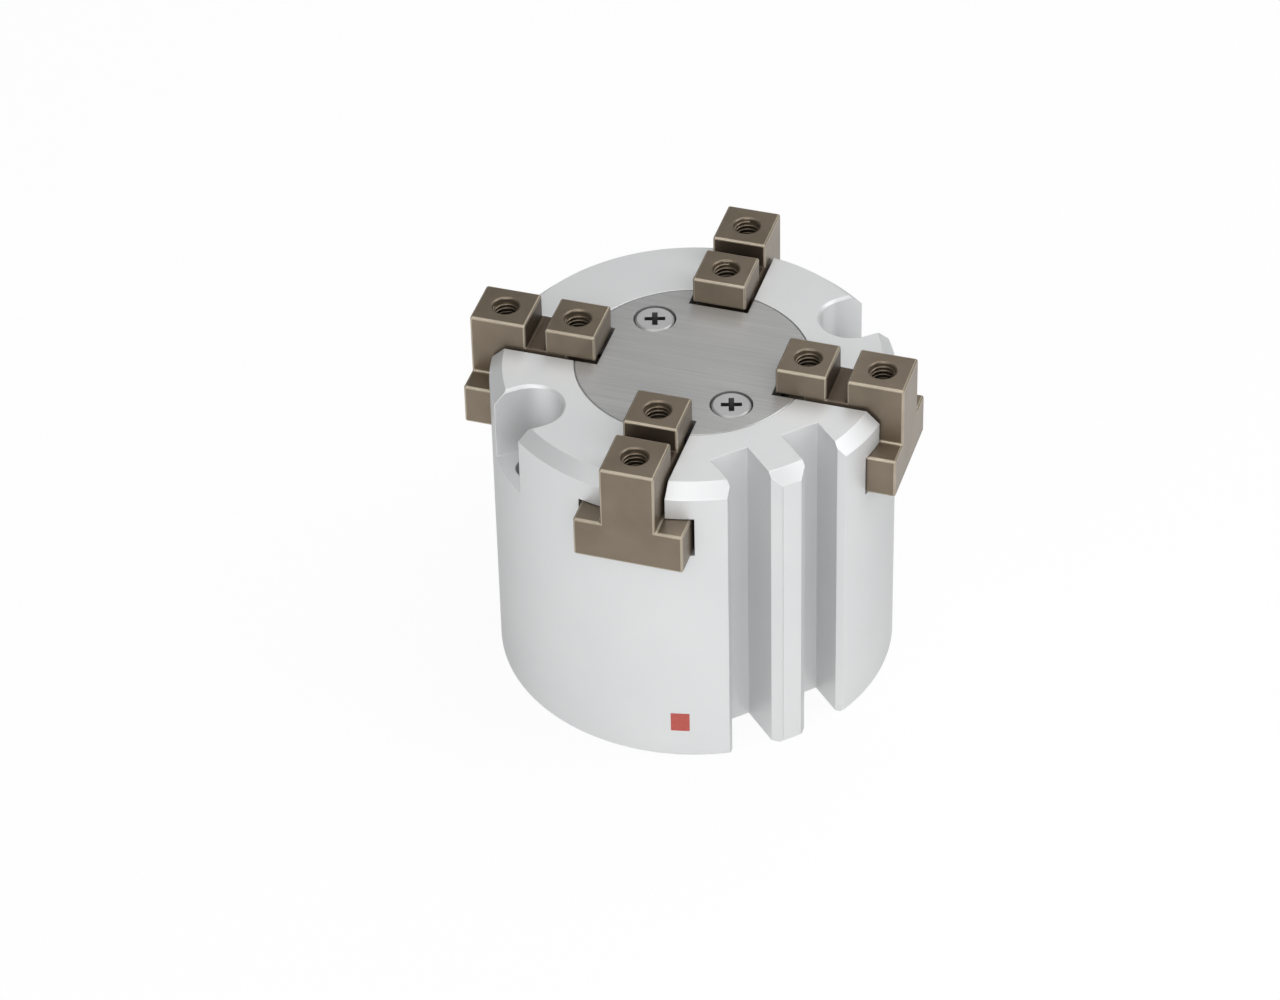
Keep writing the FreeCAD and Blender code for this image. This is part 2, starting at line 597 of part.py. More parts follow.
def make_piston():
    """Piston with its rod, seal, magnet and screw."""
    turned("piston", (
        ("socket_seat_r", "piston_z"), ("step_r", "piston_z"), ("step_r", "piston_z + piston_step"),
        ("piston_r", "piston_z + piston_step"), ("piston_r", "piston_seal_z"),
        ("bore_groove_r", "piston_seal_z"), ("bore_groove_r", "piston_seal_z + groove_high"),
        ("piston_r", "piston_seal_z + groove_high"), ("piston_r", "magnet_z"),
        ("magnet_r", "magnet_z"), ("magnet_r", "magnet_z + magnet_thick"),
        ("piston_r", "magnet_z + magnet_thick"), ("piston_r", "piston_top - piston_step"),
        ("step_r", "piston_top - piston_step"), ("step_r", "piston_top"),
        ("rod_r + thread_gap", "piston_top"), ("rod_r + thread_gap", "rod_z"),
        ("screw_hole_r", "rod_z"), ("screw_hole_r", "piston_seat_z"),
        ("socket_seat_r", "piston_seat_z"),
    ))
    o_ring("piston_seal", "bore_seal_r", "piston_seal_z")
    turned("magnet_ring", (
        ("magnet_r + thread_gap", "magnet_z"), ("piston_r - thread_gap", "magnet_z"),
        ("piston_r - thread_gap", "magnet_z + magnet_thick"),
        ("magnet_r + thread_gap", "magnet_z + magnet_thick"),
    ))
    rod = turned("piston_rod", (
        ("0", "rod_z"), ("rod_r", "rod_z"), ("rod_r", "cam_z"), ("0", "cam_z"),
    ))
    for name, end, upward in (("piston_tap", "rod_z", True), ("cam_tap", "cam_z", False)):
        tap = circle(new_sketch(rod, name, "XY_Plane", end), "0", "0", "screw_hole_r")
        pocket(rod, tap, "rod_tap_depth", forward=upward)
    socket_screw("piston_screw", "piston_seat_z", "rod_z - piston_seat_z + screw_grip", up=False)
    o_ring("rod_seal", "rod_seal_r", "rod_seal_z")


def make_cam():
    """Wedge cam: a round core with four inclined T-rails, and the screw that holds it."""
    cam = new_body("wedge_cam")
    core = circle(new_sketch(cam, "cam_core", "XY_Plane", "cam_z"), "0", "0", "core_r")
    pad(cam, core, "cam_height")
    web = outline(new_sketch(cam, "rail_web", "XZ_Plane"), (
        ("0", "cam_z"), ("rail_low_r - rail_depth", "cam_z"),
        ("rail_top_r - rail_depth", "cam_top"), ("0", "cam_top"),
    ))
    rail_web = pad(cam, web, "web_width", symmetric=True)
    head = outline(new_sketch(cam, "rail_head", "XZ_Plane"), (
        ("rail_low_r - rail_depth", "cam_z"), ("rail_low_r", "cam_z"),
        ("rail_top_r", "cam_top"), ("rail_top_r - rail_depth", "cam_top"),
    ))
    rail_head = pad(cam, head, "rail_width", symmetric=True)
    around(cam, "rails", [rail_web, rail_head], len(FINGERS))
    seat = circle(new_sketch(cam, "cam_screw_seat", "XY_Plane", "cam_seat_z"), "0", "0", "socket_seat_r")
    pocket(cam, seat, forward=True)
    hole = circle(new_sketch(cam, "cam_screw_hole", "XY_Plane", "cam_z"), "0", "0", "screw_hole_r")
    pocket(cam, hole, forward=True)
    socket_screw("cam_screw", "cam_seat_z", "cam_seat_z - cam_z + screw_grip", up=True)


def make_finger(label, turn):
    """Finger: T-shaped slide with two jaw pads, and a hook that holds the cam's rail."""
    finger = new_body(label)
    side = outline(new_sketch(finger, label + "_side", "XZ_Plane"), (
        ("pad_out_r", "lug_z"), ("pad_out_r", "pad_top"), ("outer_pad_r", "pad_top"),
        ("outer_pad_r", "key_z"), ("inner_pad_r", "key_z"), ("inner_pad_r", "pad_top"),
        ("pad_in_r", "pad_top"), ("pad_in_r", "pad_z"), ("neck_in_r", "pad_z"),
        ("neck_in_r", "lug_top"), ("stem_in_r", "lug_top"), ("stem_in_r", "hook_top"),
        ("hook_high_r", "hook_top"), ("hook_low_r", "hook_z"), ("hook_back_r", "hook_z"),
        ("hook_back_r", "lug_z"),
    ))
    pad(finger, side, "finger_width", symmetric=True)
    lug = new_sketch(finger, label + "_lug", "XZ_Plane")
    rectangle(lug, "neck_in_r", "pad_out_r", "lug_z", "lug_top")
    pad(finger, lug, "lug_width", symmetric=True)

    # Inclined T-slot for the rail: the head's room, then the gap between the lips
    low = "hook_z - cut_over"
    high = "hook_top + cut_over"
    lip = "rail_depth + slide_gap"
    room = outline(new_sketch(finger, label + "_rail_room", "XZ_Plane"), (
        ("rail_low_cut_r - (%s)" % lip, low), ("rail_low_cut_r + slide_gap", low),
        ("rail_top_cut_r + slide_gap", high), ("rail_top_cut_r - (%s)" % lip, high),
    ))
    pocket(finger, room, "2 * rail_half", symmetric=True)
    gap = outline(new_sketch(finger, label + "_lip_gap", "XZ_Plane"), (
        ("rail_low_cut_r - rail_depth - lip_depth - cut_over", low), ("rail_low_cut_r - rail_depth", low),
        ("rail_top_cut_r - rail_depth", high), ("rail_top_cut_r - rail_depth - lip_depth - cut_over", high),
    ))
    pocket(finger, gap, "web_width + 2 * slide_gap", symmetric=True)

    # Tapped jaw holes: deep in the outer pad, through the inner one
    jaw_holes = (
        ("outer", "pad_out_r - outer_pad / 2", "jaw_hole_depth"),
        ("inner", "pad_in_r + inner_pad / 2", "pad_height"),
    )
    for name, reach, depth in jaw_holes:
        hole = new_sketch(finger, "%s_%s_hole" % (label, name), "XY_Plane", "pad_top")
        pocket(finger, circle(hole, reach, "0", "jaw_hole_dia / 2"), depth)
    chamfer_at(finger, label + "_edges", "pad_top", "finger_chamfer")
    finger.Placement.Rotation = FreeCAD.Rotation(FreeCAD.Vector(0, 0, 1), turn)


def write_pieces():
    """Check every object and write each sub-part to its own file."""
    doc.recompute()
    for item in doc.Objects:
        if "Invalid" in item.State or "Error" in item.State:
            raise ValueError(item.Label + " failed to build")
    for piece in pieces:
        if piece.Shape.isNull() or not piece.Shape.isValid() or not piece.Shape.Solids:
            raise ValueError(piece.Label + " is not a sound solid")
    os.makedirs("parts", exist_ok=True)
    for piece in pieces:
        piece.Shape.exportStep(os.path.join("parts", piece.Label + ".step"))
        print(piece.Label, len(piece.Shape.Solids), round(piece.Shape.Volume, 2))


make_body()
make_cover()
make_end_cap()
make_piston()
make_cam()
for finger_label, finger_turn in FINGERS.items():
    make_finger(finger_label, finger_turn)
write_pieces()
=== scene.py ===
"""Looks of a four-finger pneumatic gripper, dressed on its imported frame.

The round housing, its cover plate and screws and the four fingers are modelled
here in millimetres and brought to metres when they are done. The pieces inside
keep their own solids and get a finish.
"""
import math

import bmesh
import bpy
from mathutils import Matrix, Quaternion, Vector


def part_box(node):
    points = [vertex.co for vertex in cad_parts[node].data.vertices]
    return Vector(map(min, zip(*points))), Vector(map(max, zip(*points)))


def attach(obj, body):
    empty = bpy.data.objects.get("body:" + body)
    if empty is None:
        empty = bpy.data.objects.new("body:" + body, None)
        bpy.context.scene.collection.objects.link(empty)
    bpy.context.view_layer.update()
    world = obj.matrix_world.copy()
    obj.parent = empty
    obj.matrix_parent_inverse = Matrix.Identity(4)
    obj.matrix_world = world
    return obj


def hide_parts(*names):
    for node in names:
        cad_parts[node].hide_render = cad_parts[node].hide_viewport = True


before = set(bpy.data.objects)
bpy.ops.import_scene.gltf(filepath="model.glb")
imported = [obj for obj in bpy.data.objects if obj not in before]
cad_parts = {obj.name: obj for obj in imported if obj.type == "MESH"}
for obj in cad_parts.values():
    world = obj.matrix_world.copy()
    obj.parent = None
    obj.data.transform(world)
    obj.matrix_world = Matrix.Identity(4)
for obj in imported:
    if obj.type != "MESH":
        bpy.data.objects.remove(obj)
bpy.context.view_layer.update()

# Sizes are in millimetres and turns in degrees. The frame gives the outer sizes
MM = 0.001


def lowest(node):
    """Lowest corner of a node's box."""
    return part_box(node)[0] / MM


def highest(node):
    """Highest corner of a node's box."""
    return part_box(node)[1] / MM


# Housing
BODY_R = highest("body").x
BODY_H = highest("body").z
RIM_CHAMFER = 2.0
BASE_CHAMFER = 0.5
SEAT_GAP = 0.1
BORE_R = 20.0
CAP_Z = lowest("end_cap").z
CAP_TOP = highest("end_cap").z
RING_RECESS = 1.1
RING_GROOVE_DEEP = 1.25
RING_GROOVE_R = BORE_R + RING_GROOVE_DEEP
END_GAP = 0.4
PARTITION_Z = highest("piston").z + END_GAP
PARTITION_THICK = 4.5
CHAMBER_Z = PARTITION_Z + PARTITION_THICK
CHAMBER_R = 6.5
ROD_HOLE_R = 5.05
ROD_GROOVE_R = 7.1
ROD_GROOVE_HIGH = 2.2
ROD_GROOVE_Z = PARTITION_Z + (PARTITION_THICK - ROD_GROOVE_HIGH) / 2

# Cover plate, its screws and its dowels
COVER_Z = lowest("cover_plate").z
COVER_R = 18.0
COVER_PITCH = 12.2
COVER_TURN = -45.0
SCREW_R = 1.5
SCREW_TIP_Z = lowest("cover_screw_front").z
SCREW_HEAD_R = 3.0
SCREW_HEAD_H = 2.0
SCREW_HEAD_GAP = 0.32
RECESS_WIDE = 0.85
RECESS_LONG = 3.2
RECESS_DEEP = 1.5
RECESS_FLOOR = 1.4
RECESS_TURN = 62.0
DOWEL_R = 1.5
DOWEL_Z = lowest("cover_dowel_right").z
DOWEL_TOP = highest("cover_dowel_right").z

# Pads and T foot of a finger that points along X
FINGER_TURNS = {"finger_right": 0, "finger_back": 90, "finger_left": 180, "finger_front": 270}
FINGER_TRAVEL = 4.0
PISTON_TRAVEL = 6.0
TRAVEL_GAP = 0.3
SLIDE_GAP = 0.1
FINGER_HALF = 4.25
PAD_TOP = highest("finger_right").z
PAD_GAP = 0.2
PAD_Z = BODY_H + PAD_GAP
PAD_OUT_R = highest("finger_right").x
OUTER_PAD = 8.9
INNER_PAD = 8.0
KEY_SLOT = 3.1
KEY_DEEP = 4.1
KEY_Z = PAD_TOP - KEY_DEEP
OUTER_IN_R = PAD_OUT_R - OUTER_PAD
INNER_OUT_R = OUTER_IN_R - KEY_SLOT
PAD_IN_R = INNER_OUT_R - INNER_PAD
NECK_IN_R = PAD_IN_R + FINGER_TRAVEL + TRAVEL_GAP + SLIDE_GAP
FOOT_HALF = 8.5
FOOT_DEEP = 5.7
FOOT_HIGH = 6.8
FOOT_TOP = BODY_H - FOOT_DEEP
FOOT_Z = FOOT_TOP - FOOT_HIGH

# Hook of the finger, which holds an inclined rail of the cam
WEDGE = FINGER_TRAVEL / PISTON_TRAVEL
HOOK_Z = lowest("finger_right").z
HOOK_HIGH = 6.85
HOOK_TOP = HOOK_Z + HOOK_HIGH
HOOK_LEAN = WEDGE * HOOK_HIGH
HOOK_WALL = 3.2
RAIL_LOW_R = 18.1
RAIL_DEPTH = 2.2
RAIL_HALF = 2.6
WEB_HALF = 1.4
LIP_DEPTH = 2.0
HOOK_LOW_R = RAIL_LOW_R - RAIL_DEPTH - LIP_DEPTH
HOOK_HIGH_R = HOOK_LOW_R - HOOK_LEAN
HOOK_BACK_R = RAIL_LOW_R + SLIDE_GAP + HOOK_WALL
STEM_GAP = 0.7
STEM_IN_R = RAIL_LOW_R - HOOK_LEAN + STEM_GAP

# Slots of the fingers. Their ease shows as a dark line beside each finger
NECK_HALF = FINGER_HALF + SLIDE_GAP
SLOT_IN_R = NECK_IN_R - FINGER_TRAVEL - TRAVEL_GAP
SLOT_EASE = 0.35
SLOT_END_EASE = 0.5
SLOT_EDGE = 0.06
CAM_SLOT_R = HOOK_BACK_R + TRAVEL_GAP

# Bolt seats, sensor grooves, air ports and dowel holes of the housing
BOLT_TURN = 40.0
BOLT_INSET = 4.5
BOLT_PITCH = BODY_R - BOLT_INSET
BOLT_HOLE_R = 2.75
NOTCH_R = 4.8
NOTCH_DEEP = 12.0
NOTCH_Z = BODY_H - NOTCH_DEEP
NOTCH_EDGE = 0.4
GROOVE_TURN = -45.0
GROOVE_WALL = 2.3
GROOVE_FLOOR = BORE_R + GROOVE_WALL
GROOVE_CHAMFER = 1.3
RIB_HALF = 2.9
GROOVE_WIDE = 6.2
GROOVE_SIDE = RIB_HALF + GROOVE_WIDE
PORT_TURN = 135.0
PORT_R = 2.1
PORT_DEPTH = 5.5
AIR_R = 0.7
AIR_INSET = 0.8
PORT_HEIGHTS = (CAP_TOP + AIR_INSET, PARTITION_Z - AIR_INSET)
BASE_DOWEL_R = 2.0
BASE_DOWEL_INSET = 5.0
BASE_DOWEL_PITCH = BODY_R - BASE_DOWEL_INSET
BASE_DOWEL_DEEP = 5.0

# Jaw holes and threads
JAW_HOLE_R = 1.95
JAW_HOLE_DEEP = 8.0
DRILL_POINT = 1.1
OUTER_HOLE_R = PAD_OUT_R - OUTER_PAD / 2
INNER_HOLE_R = PAD_IN_R + INNER_PAD / 2
THREAD_TOOTH = 0.3
THREAD_STEPS = 40
THREAD_SIDES = 3
JAW_THREAD_R = 1.9
JAW_THREAD_PITCH = 0.7
JAW_THREAD_TURNS = 4.0
PORT_THREAD_R = 2.05
PORT_THREAD_PITCH = 0.8
PORT_THREAD_TURNS = 5.0

# Painted mark on the side
MARK_TURN = -78.0
MARK_Z = 7.1
MARK_WIDE = 2.9
MARK_HIGH = 3.5
MARK_THICK = 0.03
MARK_STEPS = 12

# Rounded edges, and the steps of round meshes
BODY_EDGE = 0.085
COVER_EDGE = 0.18
FINGER_EDGE = 0.36
FINE_SHARE = 0.25
SCREW_EDGE = 0.25
EDGE_STEPS = 2
EDGE_MATERIAL = 1
OVER = 1.0
MERGE_GAP = 0.002
ROUND_STEPS = 240
HOLE_STEPS = 56
SHARP_ANGLE = math.radians(38)
CRISP_ANGLE = math.radians(25)

# Camera in metres, from the photograph's viewing angle. Lens and sensor in millimetres
VIEW_AZIMUTH = math.radians(17.09)
VIEW_HEIGHT = math.radians(39.52)
VIEW_ROLL = math.radians(-1.4)
VIEW_REACH = 0.7594
VIEW_SIDE = -0.00853
VIEW_UP = 0.00125
VIEW_TARGET = Vector((0, 0, 0.02422))
VIEW_NEAR = 0.01
LENS = 137.21
SENSOR_WIDE = 36.0

# Studio in metres. Lamps: name, degrees round from +X, degrees up, size, watts
FLOOR_REACH = 4.0
FLOOR_GAP = 0.00005
FLOOR_PALE = (0.9, 0.9, 0.9, 1)
FLOOR_ROUGH = 0.9
FLOOR_GLOW = 0.93
LAMP_AIM = Vector((0, 0, 0.03))
LAMP_REACH = 0.75
LAMPS = (
    ("overhead", 60, 72, 0.9, 4.4),
    ("front", -72, 26, 0.6, 2.2),
    ("side", 8, 34, 0.4, 1.25),
    ("left", -106, 42, 0.5, 1.2),
)
WORLD_FRONT = Vector((0.34, -0.94, 0))
WHITE = (1, 1, 1, 1)


# Outlines
def arc(angles, radius, x=0.0, y=0.0):
    """Points at some angles round a centre."""
    return [(x + radius * math.cos(angle), y + radius * math.sin(angle)) for angle in angles]


def circle(x, y, radius, steps=HOLE_STEPS):
    """Points of a round outline, from half a step on."""
    return arc([(index + 0.5) * math.tau / steps for index in range(steps)], radius, x, y)


def rectangle(left, right, low, high):
    """Corners of a rectangular outline."""
    return [(left, low), (right, low), (right, high), (left, high)]


# Mesh helpers
def as_object(shape, name):
    """A bmesh as an object of the scene, with its faces pointing outwards."""
    bmesh.ops.recalc_face_normals(shape, faces=shape.faces)
    mesh = bpy.data.meshes.new(name)
    shape.to_mesh(mesh)
    shape.free()
    piece = bpy.data.objects.new(name, mesh)
    bpy.context.scene.collection.objects.link(piece)
    return piece


def drop(piece):
    """Remove a piece that has been used up."""
    mesh = piece.data
    bpy.data.objects.remove(piece)
    bpy.data.meshes.remove(mesh)


def turned(name, section, steps=ROUND_STEPS):
    """A solid turned about Z from its half section, a loop of (radius, height)."""
    shape = bmesh.new()
    rings = []
    for radius, height in section:
        spots = circle(0, 0, radius, steps) if radius else [(0, 0)]
        rings.append([shape.verts.new((x, y, height)) for x, y in spots])
    for low, high in zip(rings, rings[1:] + rings[:1]):
        for index in range(steps):
            after = (index + 1) % steps
            corners = [low[index % len(low)], low[after % len(low)],
                       high[after % len(high)], high[index % len(high)]]
            loop = list(dict.fromkeys(corners))
            if len(loop) > 2:
                shape.faces.new(loop)
    return as_object(shape, name)


def stacked(name, levels, along="Z", turn=0.0):
    """A solid through a stack of (outline, level) along an axis, then turned about Z by degrees."""
    order = {"X": (2, 0, 1), "Y": (0, 2, 1), "Z": (0, 1, 2)}[along]
    shape = bmesh.new()
    loops = []
    for outline, level in levels:
        spots = [(u, v, level) for u, v in outline]
        loops.append([shape.verts.new([spot[part] for part in order]) for spot in spots])
    shape.faces.new(loops[0])
    shape.faces.new(loops[-1])
    for low, high in zip(loops, loops[1:]):
        for index in range(len(low)):
            after = (index + 1) % len(low)
            shape.faces.new((low[index], low[after], high[after], high[index]))
    shape.transform(Matrix.Rotation(math.radians(turn), 4, "Z"))
    return as_object(shape, name)


def prism(name, outline, low, high, along="Z", turn=0.0):
    """An outline carried from low to high along an axis, then turned about Z by degrees."""
    return stacked(name, [(outline, low), (outline, high)], along, turn)


def settle(piece):
    """Make what the modifiers give the piece's own plain mesh."""
    graph = bpy.context.evaluated_depsgraph_get()
    mesh = bpy.data.meshes.new_from_object(piece.evaluated_get(graph), depsgraph=graph)
    piece.modifiers.clear()
    old = piece.data
    piece.data = mesh
    bpy.data.meshes.remove(old)


def join_or_cut(piece, others, operation):
    """Add the other solids to a piece, or cut them out of it."""
    for other in others:
        step = piece.modifiers.new(operation, "BOOLEAN")
        step.operation = operation
        step.solver = "EXACT"
        step.object = other
    settle(piece)
    for other in others:
        drop(other)


def lies_at(part, height):
    """Whether a face or an edge lies flat at one height."""
    return all(abs(corner.co.z - height) < MERGE_GAP for corner in part.verts)


def merge_slivers(piece, flat_at=None):
    """Take out the tiny edges that cutting leaves, and the edges inside a flat at one height."""
    shape = bmesh.new()
    shape.from_mesh(piece.data)
    bmesh.ops.remove_doubles(shape, verts=shape.verts, dist=MERGE_GAP)
    bmesh.ops.dissolve_degenerate(shape, edges=shape.edges, dist=MERGE_GAP)
    if flat_at is not None:
        flat = {face for face in shape.faces if lies_at(face, flat_at)}
        shared = [edge for edge in shape.edges if len(edge.link_faces) == 2]
        inside = [edge for edge in shared if flat.issuperset(edge.link_faces)]
        bmesh.ops.dissolve_edges(shape, edges=inside, use_verts=False)
    bmesh.ops.recalc_face_normals(shape, faces=shape.faces)
    shape.to_mesh(piece.data)
    shape.free()


def weigh_edges(piece, fine_at):
    """Let each sharp edge be rounded in full, and those at one height only a little."""
    shape = bmesh.new()
    shape.from_mesh(piece.data)
    share = shape.edges.layers.float.new("bevel_weight_edge")
    for edge in shape.edges:
        if edge.calc_face_angle() > SHARP_ANGLE:
            edge[share] = FINE_SHARE if lies_at(edge, fine_at) else 1.0
    shape.to_mesh(piece.data)
    shape.free()


def shade_smooth(piece):
    """Shade every face smooth."""
    for face in piece.data.polygons:
        face.use_smooth = True


def soften_edges(piece, width, mark_edges=False, flat_at=None, fine_at=None):
    """Round the sharp edges, and shade the flats flat and the curves smooth."""
    merge_slivers(piece, flat_at)
    shade_smooth(piece)
    edge = piece.modifiers.new("edges", "BEVEL")
    edge.width = width
    edge.segments = EDGE_STEPS
    edge.limit_method = "ANGLE"
    edge.angle_limit = SHARP_ANGLE
    if fine_at is not None:
        weigh_edges(piece, fine_at)
        edge.limit_method = "WEIGHT"
    edge.use_clamp_overlap = False
    edge.loop_slide = False
    edge.harden_normals = True
    if mark_edges:
        paint(piece, None, None)
        edge.material = EDGE_MATERIAL
    settle(piece)


def sharpen(piece):
    """Shade the curves smooth and leave the edges of a chamfered piece crisp."""
    merge_slivers(piece)
    shade_smooth(piece)
    piece.data.set_sharp_from_angle(angle=CRISP_ANGLE)


def flag_faces(piece, name, flags):
    """Keep a yes or no for each face, by which a geometry tree can choose."""
    attribute = piece.data.attributes.new(name, "BOOLEAN", "FACE")
    attribute.data.foreach_set("value", flags)


def to_metres(piece):
    """Bring a finished piece from millimetres to metres."""
    piece.data.transform(Matrix.Scale(MM, 4))


def paint(piece, *finishes):
    """Give a piece its finishes, in the order of its material numbers."""
    piece.data.materials.clear()
    for finish in finishes:
        piece.data.materials.append(finish)


# Node helpers
def add(tree, kind, inputs=(), **settings):
    """Add a node. Inputs give each named socket a value, or the socket that feeds it."""
    made = tree.nodes.new(kind)
    for name, setting in settings.items():
        setattr(made, name, setting)
    for name, source in dict(inputs).items():
        if isinstance(source, bpy.types.NodeSocket):
            tree.links.new(source, made.inputs[name])
        else:
            made.inputs[name].default_value = source
    return made


def math_node(tree, operation, *numbers):
    """The result of some arithmetic on numbers or sockets."""
    return add(tree, "ShaderNodeMath", enumerate(numbers), operation=operation).outputs[0]


def tint(red, green, blue):
    """A colour as seen on screen, in the shader's own linear values."""
    parts = [part / 255 for part in (red, green, blue)]
    linear = [part / 12.92 if part <= 0.04045 else ((part + 0.055) / 1.055) ** 2.4 for part in parts]
    return linear + [1.0]


def new_finish(name):
    """An empty material with its shader and the coordinates of the piece."""
    finish = bpy.data.materials.new(name)
    finish.use_nodes = True
    tree = finish.node_tree
    shader = tree.nodes["Principled BSDF"]
    spot = add(tree, "ShaderNodeTexCoord").outputs["Object"]
    return finish, tree, shader, spot


def cloud(tree, spot, scale, detail=3.0):
    """Soft random variation, with its scale in spots per metre."""
    inputs = {"Vector": spot, "Scale": scale, "Detail": detail}
    return add(tree, "ShaderNodeTexNoise", inputs).outputs["Fac"]


def between(tree, share, low, high):
    """A number that runs from low to high as the share goes from nought to one."""
    inputs = {"Value": share, "To Min": low, "To Max": high}
    return add(tree, "ShaderNodeMapRange", inputs).outputs["Result"]


def shade(tree, share, first, second):
    """A colour between two. The node's colour sockets follow those for numbers and vectors."""
    mix = add(tree, "ShaderNodeMix", {0: share, 6: first, 7: second}, data_type="RGBA")
    return mix.outputs[2]


def raise_bump(tree, height, strength, distance):
    """Surface relief from a height."""
    inputs = {"Height": height, "Strength": strength, "Distance": distance}
    return add(tree, "ShaderNodeBump", inputs).outputs["Normal"]


def feed(tree, shader, colour, roughness, relief=None, metal=0.0):
    """Give a shader its colour, its roughness, its relief and how much of a metal it is."""
    tree.links.new(colour, shader.inputs["Base Color"])
    tree.links.new(roughness, shader.inputs["Roughness"])
    if relief is not None:
        tree.links.new(relief, shader.inputs["Normal"])
    shader.inputs["Metallic"].default_value = metal


# Finishes
def blasted_anodising():
    """Clear-anodised aluminium: pale, even and satin, with a blasted grain and little glare."""
    finish, tree, shader, spot = new_finish("blasted_anodising")
    broad = cloud(tree, spot, scale=55.0)
    grain = cloud(tree, spot, scale=5200.0, detail=2.0)
    colour = shade(tree, broad, tint(215, 216, 217), tint(224, 225, 225))
    roughness = between(tree, grain, low=0.34, high=0.48)
    relief = raise_bump(tree, grain, strength=0.10, distance=0.00004)
    feed(tree, shader, colour, roughness, relief, metal=0.45)
    shader.inputs["Specular IOR Level"].default_value = 0.2
    shader.inputs["Specular Tint"].default_value = tint(165, 165, 165)
    return finish


def cover_satin():
    """Darker satin grey of the cover plate, with a fine straight brushing."""
    finish, tree, shader, spot = new_finish("cover_satin")
    stretch = add(tree, "ShaderNodeMapping", {"Vector": spot, "Scale": (60.0, 2600.0, 60.0)})
    brushing = cloud(tree, stretch.outputs["Vector"], scale=1.0, detail=4.0)
    colour = shade(tree, brushing, tint(166, 166, 166), tint(194, 194, 193))
    roughness = between(tree, brushing, low=0.26, high=0.42)
    relief = raise_bump(tree, brushing, strength=0.14, distance=0.00004)
    feed(tree, shader, colour, roughness, relief, metal=0.6)
    return finish


def plated_steel(name, dark, light, smooth, spread=0.16):
    """Plated steel of the fingers: warm, with a fine grain, a little uneven."""
    finish, tree, shader, spot = new_finish(name)
    broad = cloud(tree, spot, scale=160.0, detail=4.0)
    grain = cloud(tree, spot, scale=3800.0)
    roughness = between(tree, grain, smooth, smooth + spread)
    relief = raise_bump(tree, grain, strength=0.16, distance=0.00005)
    feed(tree, shader, shade(tree, broad, dark, light), roughness, relief, metal=0.75)
    return finish


def turned_metal(name, dark, light, metal=0.9, smooth=0.26, spread=0.14):
    """Turned or ground metal of screws and inner pieces, with rings of tool marks about Z."""
    finish, tree, shader, spot = new_finish(name)
    marks = {"Vector": spot, "Scale": 900.0, "Distortion": 0.6, "Detail": 1.0}
    rings = add(tree, "ShaderNodeTexWave", marks, wave_type="RINGS", rings_direction="Z")
    broad = cloud(tree, spot, scale=200.0)
    roughness = between(tree, broad, smooth, smooth + spread)
    relief = raise_bump(tree, rings.outputs["Fac"], strength=0.1, distance=0.00003)
    feed(tree, shader, shade(tree, broad, dark, light), roughness, relief, metal)
    return finish


def seal_rubber():
    """Black rubber of the O-rings."""
    finish, tree, shader, spot = new_finish("seal_rubber")
    grain = cloud(tree, spot, scale=2600.0, detail=4.0)
    colour = shade(tree, grain, tint(22, 22, 23), tint(38, 38, 39))
    feed(tree, shader, colour, between(tree, grain, low=0.5, high=0.7))
    return finish


def mark_paint():
    """Red paint of the small mark on the side."""
    finish, tree, shader, spot = new_finish("mark_paint")
    grain = cloud(tree, spot, scale=1500.0, detail=4.0)
    colour = shade(tree, grain, tint(170, 64, 56), tint(190, 92, 82))
    feed(tree, shader, colour, between(tree, grain, low=0.42, high=0.6))
    return finish


ALUMINIUM = blasted_anodising()
COVER_GREY = cover_satin()
FINGER_STEEL = plated_steel("finger_plating", tint(110, 99, 85), tint(138, 126, 110), smooth=0.28)
# Lighter rounded edges of the fingers: edge wear, and painted highlight where light catches the edges.
FINGER_WEAR_AND_HIGHLIGHT = plated_steel("finger_edge_wear_and_highlight", tint(146, 135, 118), tint(192, 181, 163), smooth=0.26)
# Faces lining the fingers' cross slots get a darker steel: painted shade.
FINGER_SLOT_PAINTED_SHADE = plated_steel("finger_key_slot_painted_shade", tint(80, 69, 58), tint(104, 92, 79), smooth=0.36)
# Near-black faces of the screws' cross recesses: painted shade.
RECESS_PAINTED_SHADE = turned_metal("screw_recess_painted_shade", tint(34, 34, 36), tint(58, 58, 60), metal=0.3, smooth=0.5)
SCREW_STEEL = turned_metal("screw_steel", tint(170, 170, 170), tint(190, 190, 190), metal=0.5, smooth=0.36)
BRIGHT_STEEL = turned_metal("bright_steel", tint(176, 178, 182), tint(204, 206, 210), smooth=0.18)
SPRING_STEEL = turned_metal("spring_steel", tint(58, 58, 62), tint(84, 84, 90), smooth=0.3)
CAM_STEEL = turned_metal("cam_steel", tint(120, 120, 124), tint(150, 150, 154))
TURNED_ALUMINIUM = turned_metal("turned_aluminium", tint(196, 197, 201), tint(216, 217, 220), smooth=0.3)
MAGNET_BLACK = turned_metal("magnet_black", tint(36, 36, 38), tint(54, 54, 58), metal=0.4, smooth=0.45)
SEAL_RUBBER = seal_rubber()
MARK_PAINT = mark_paint()


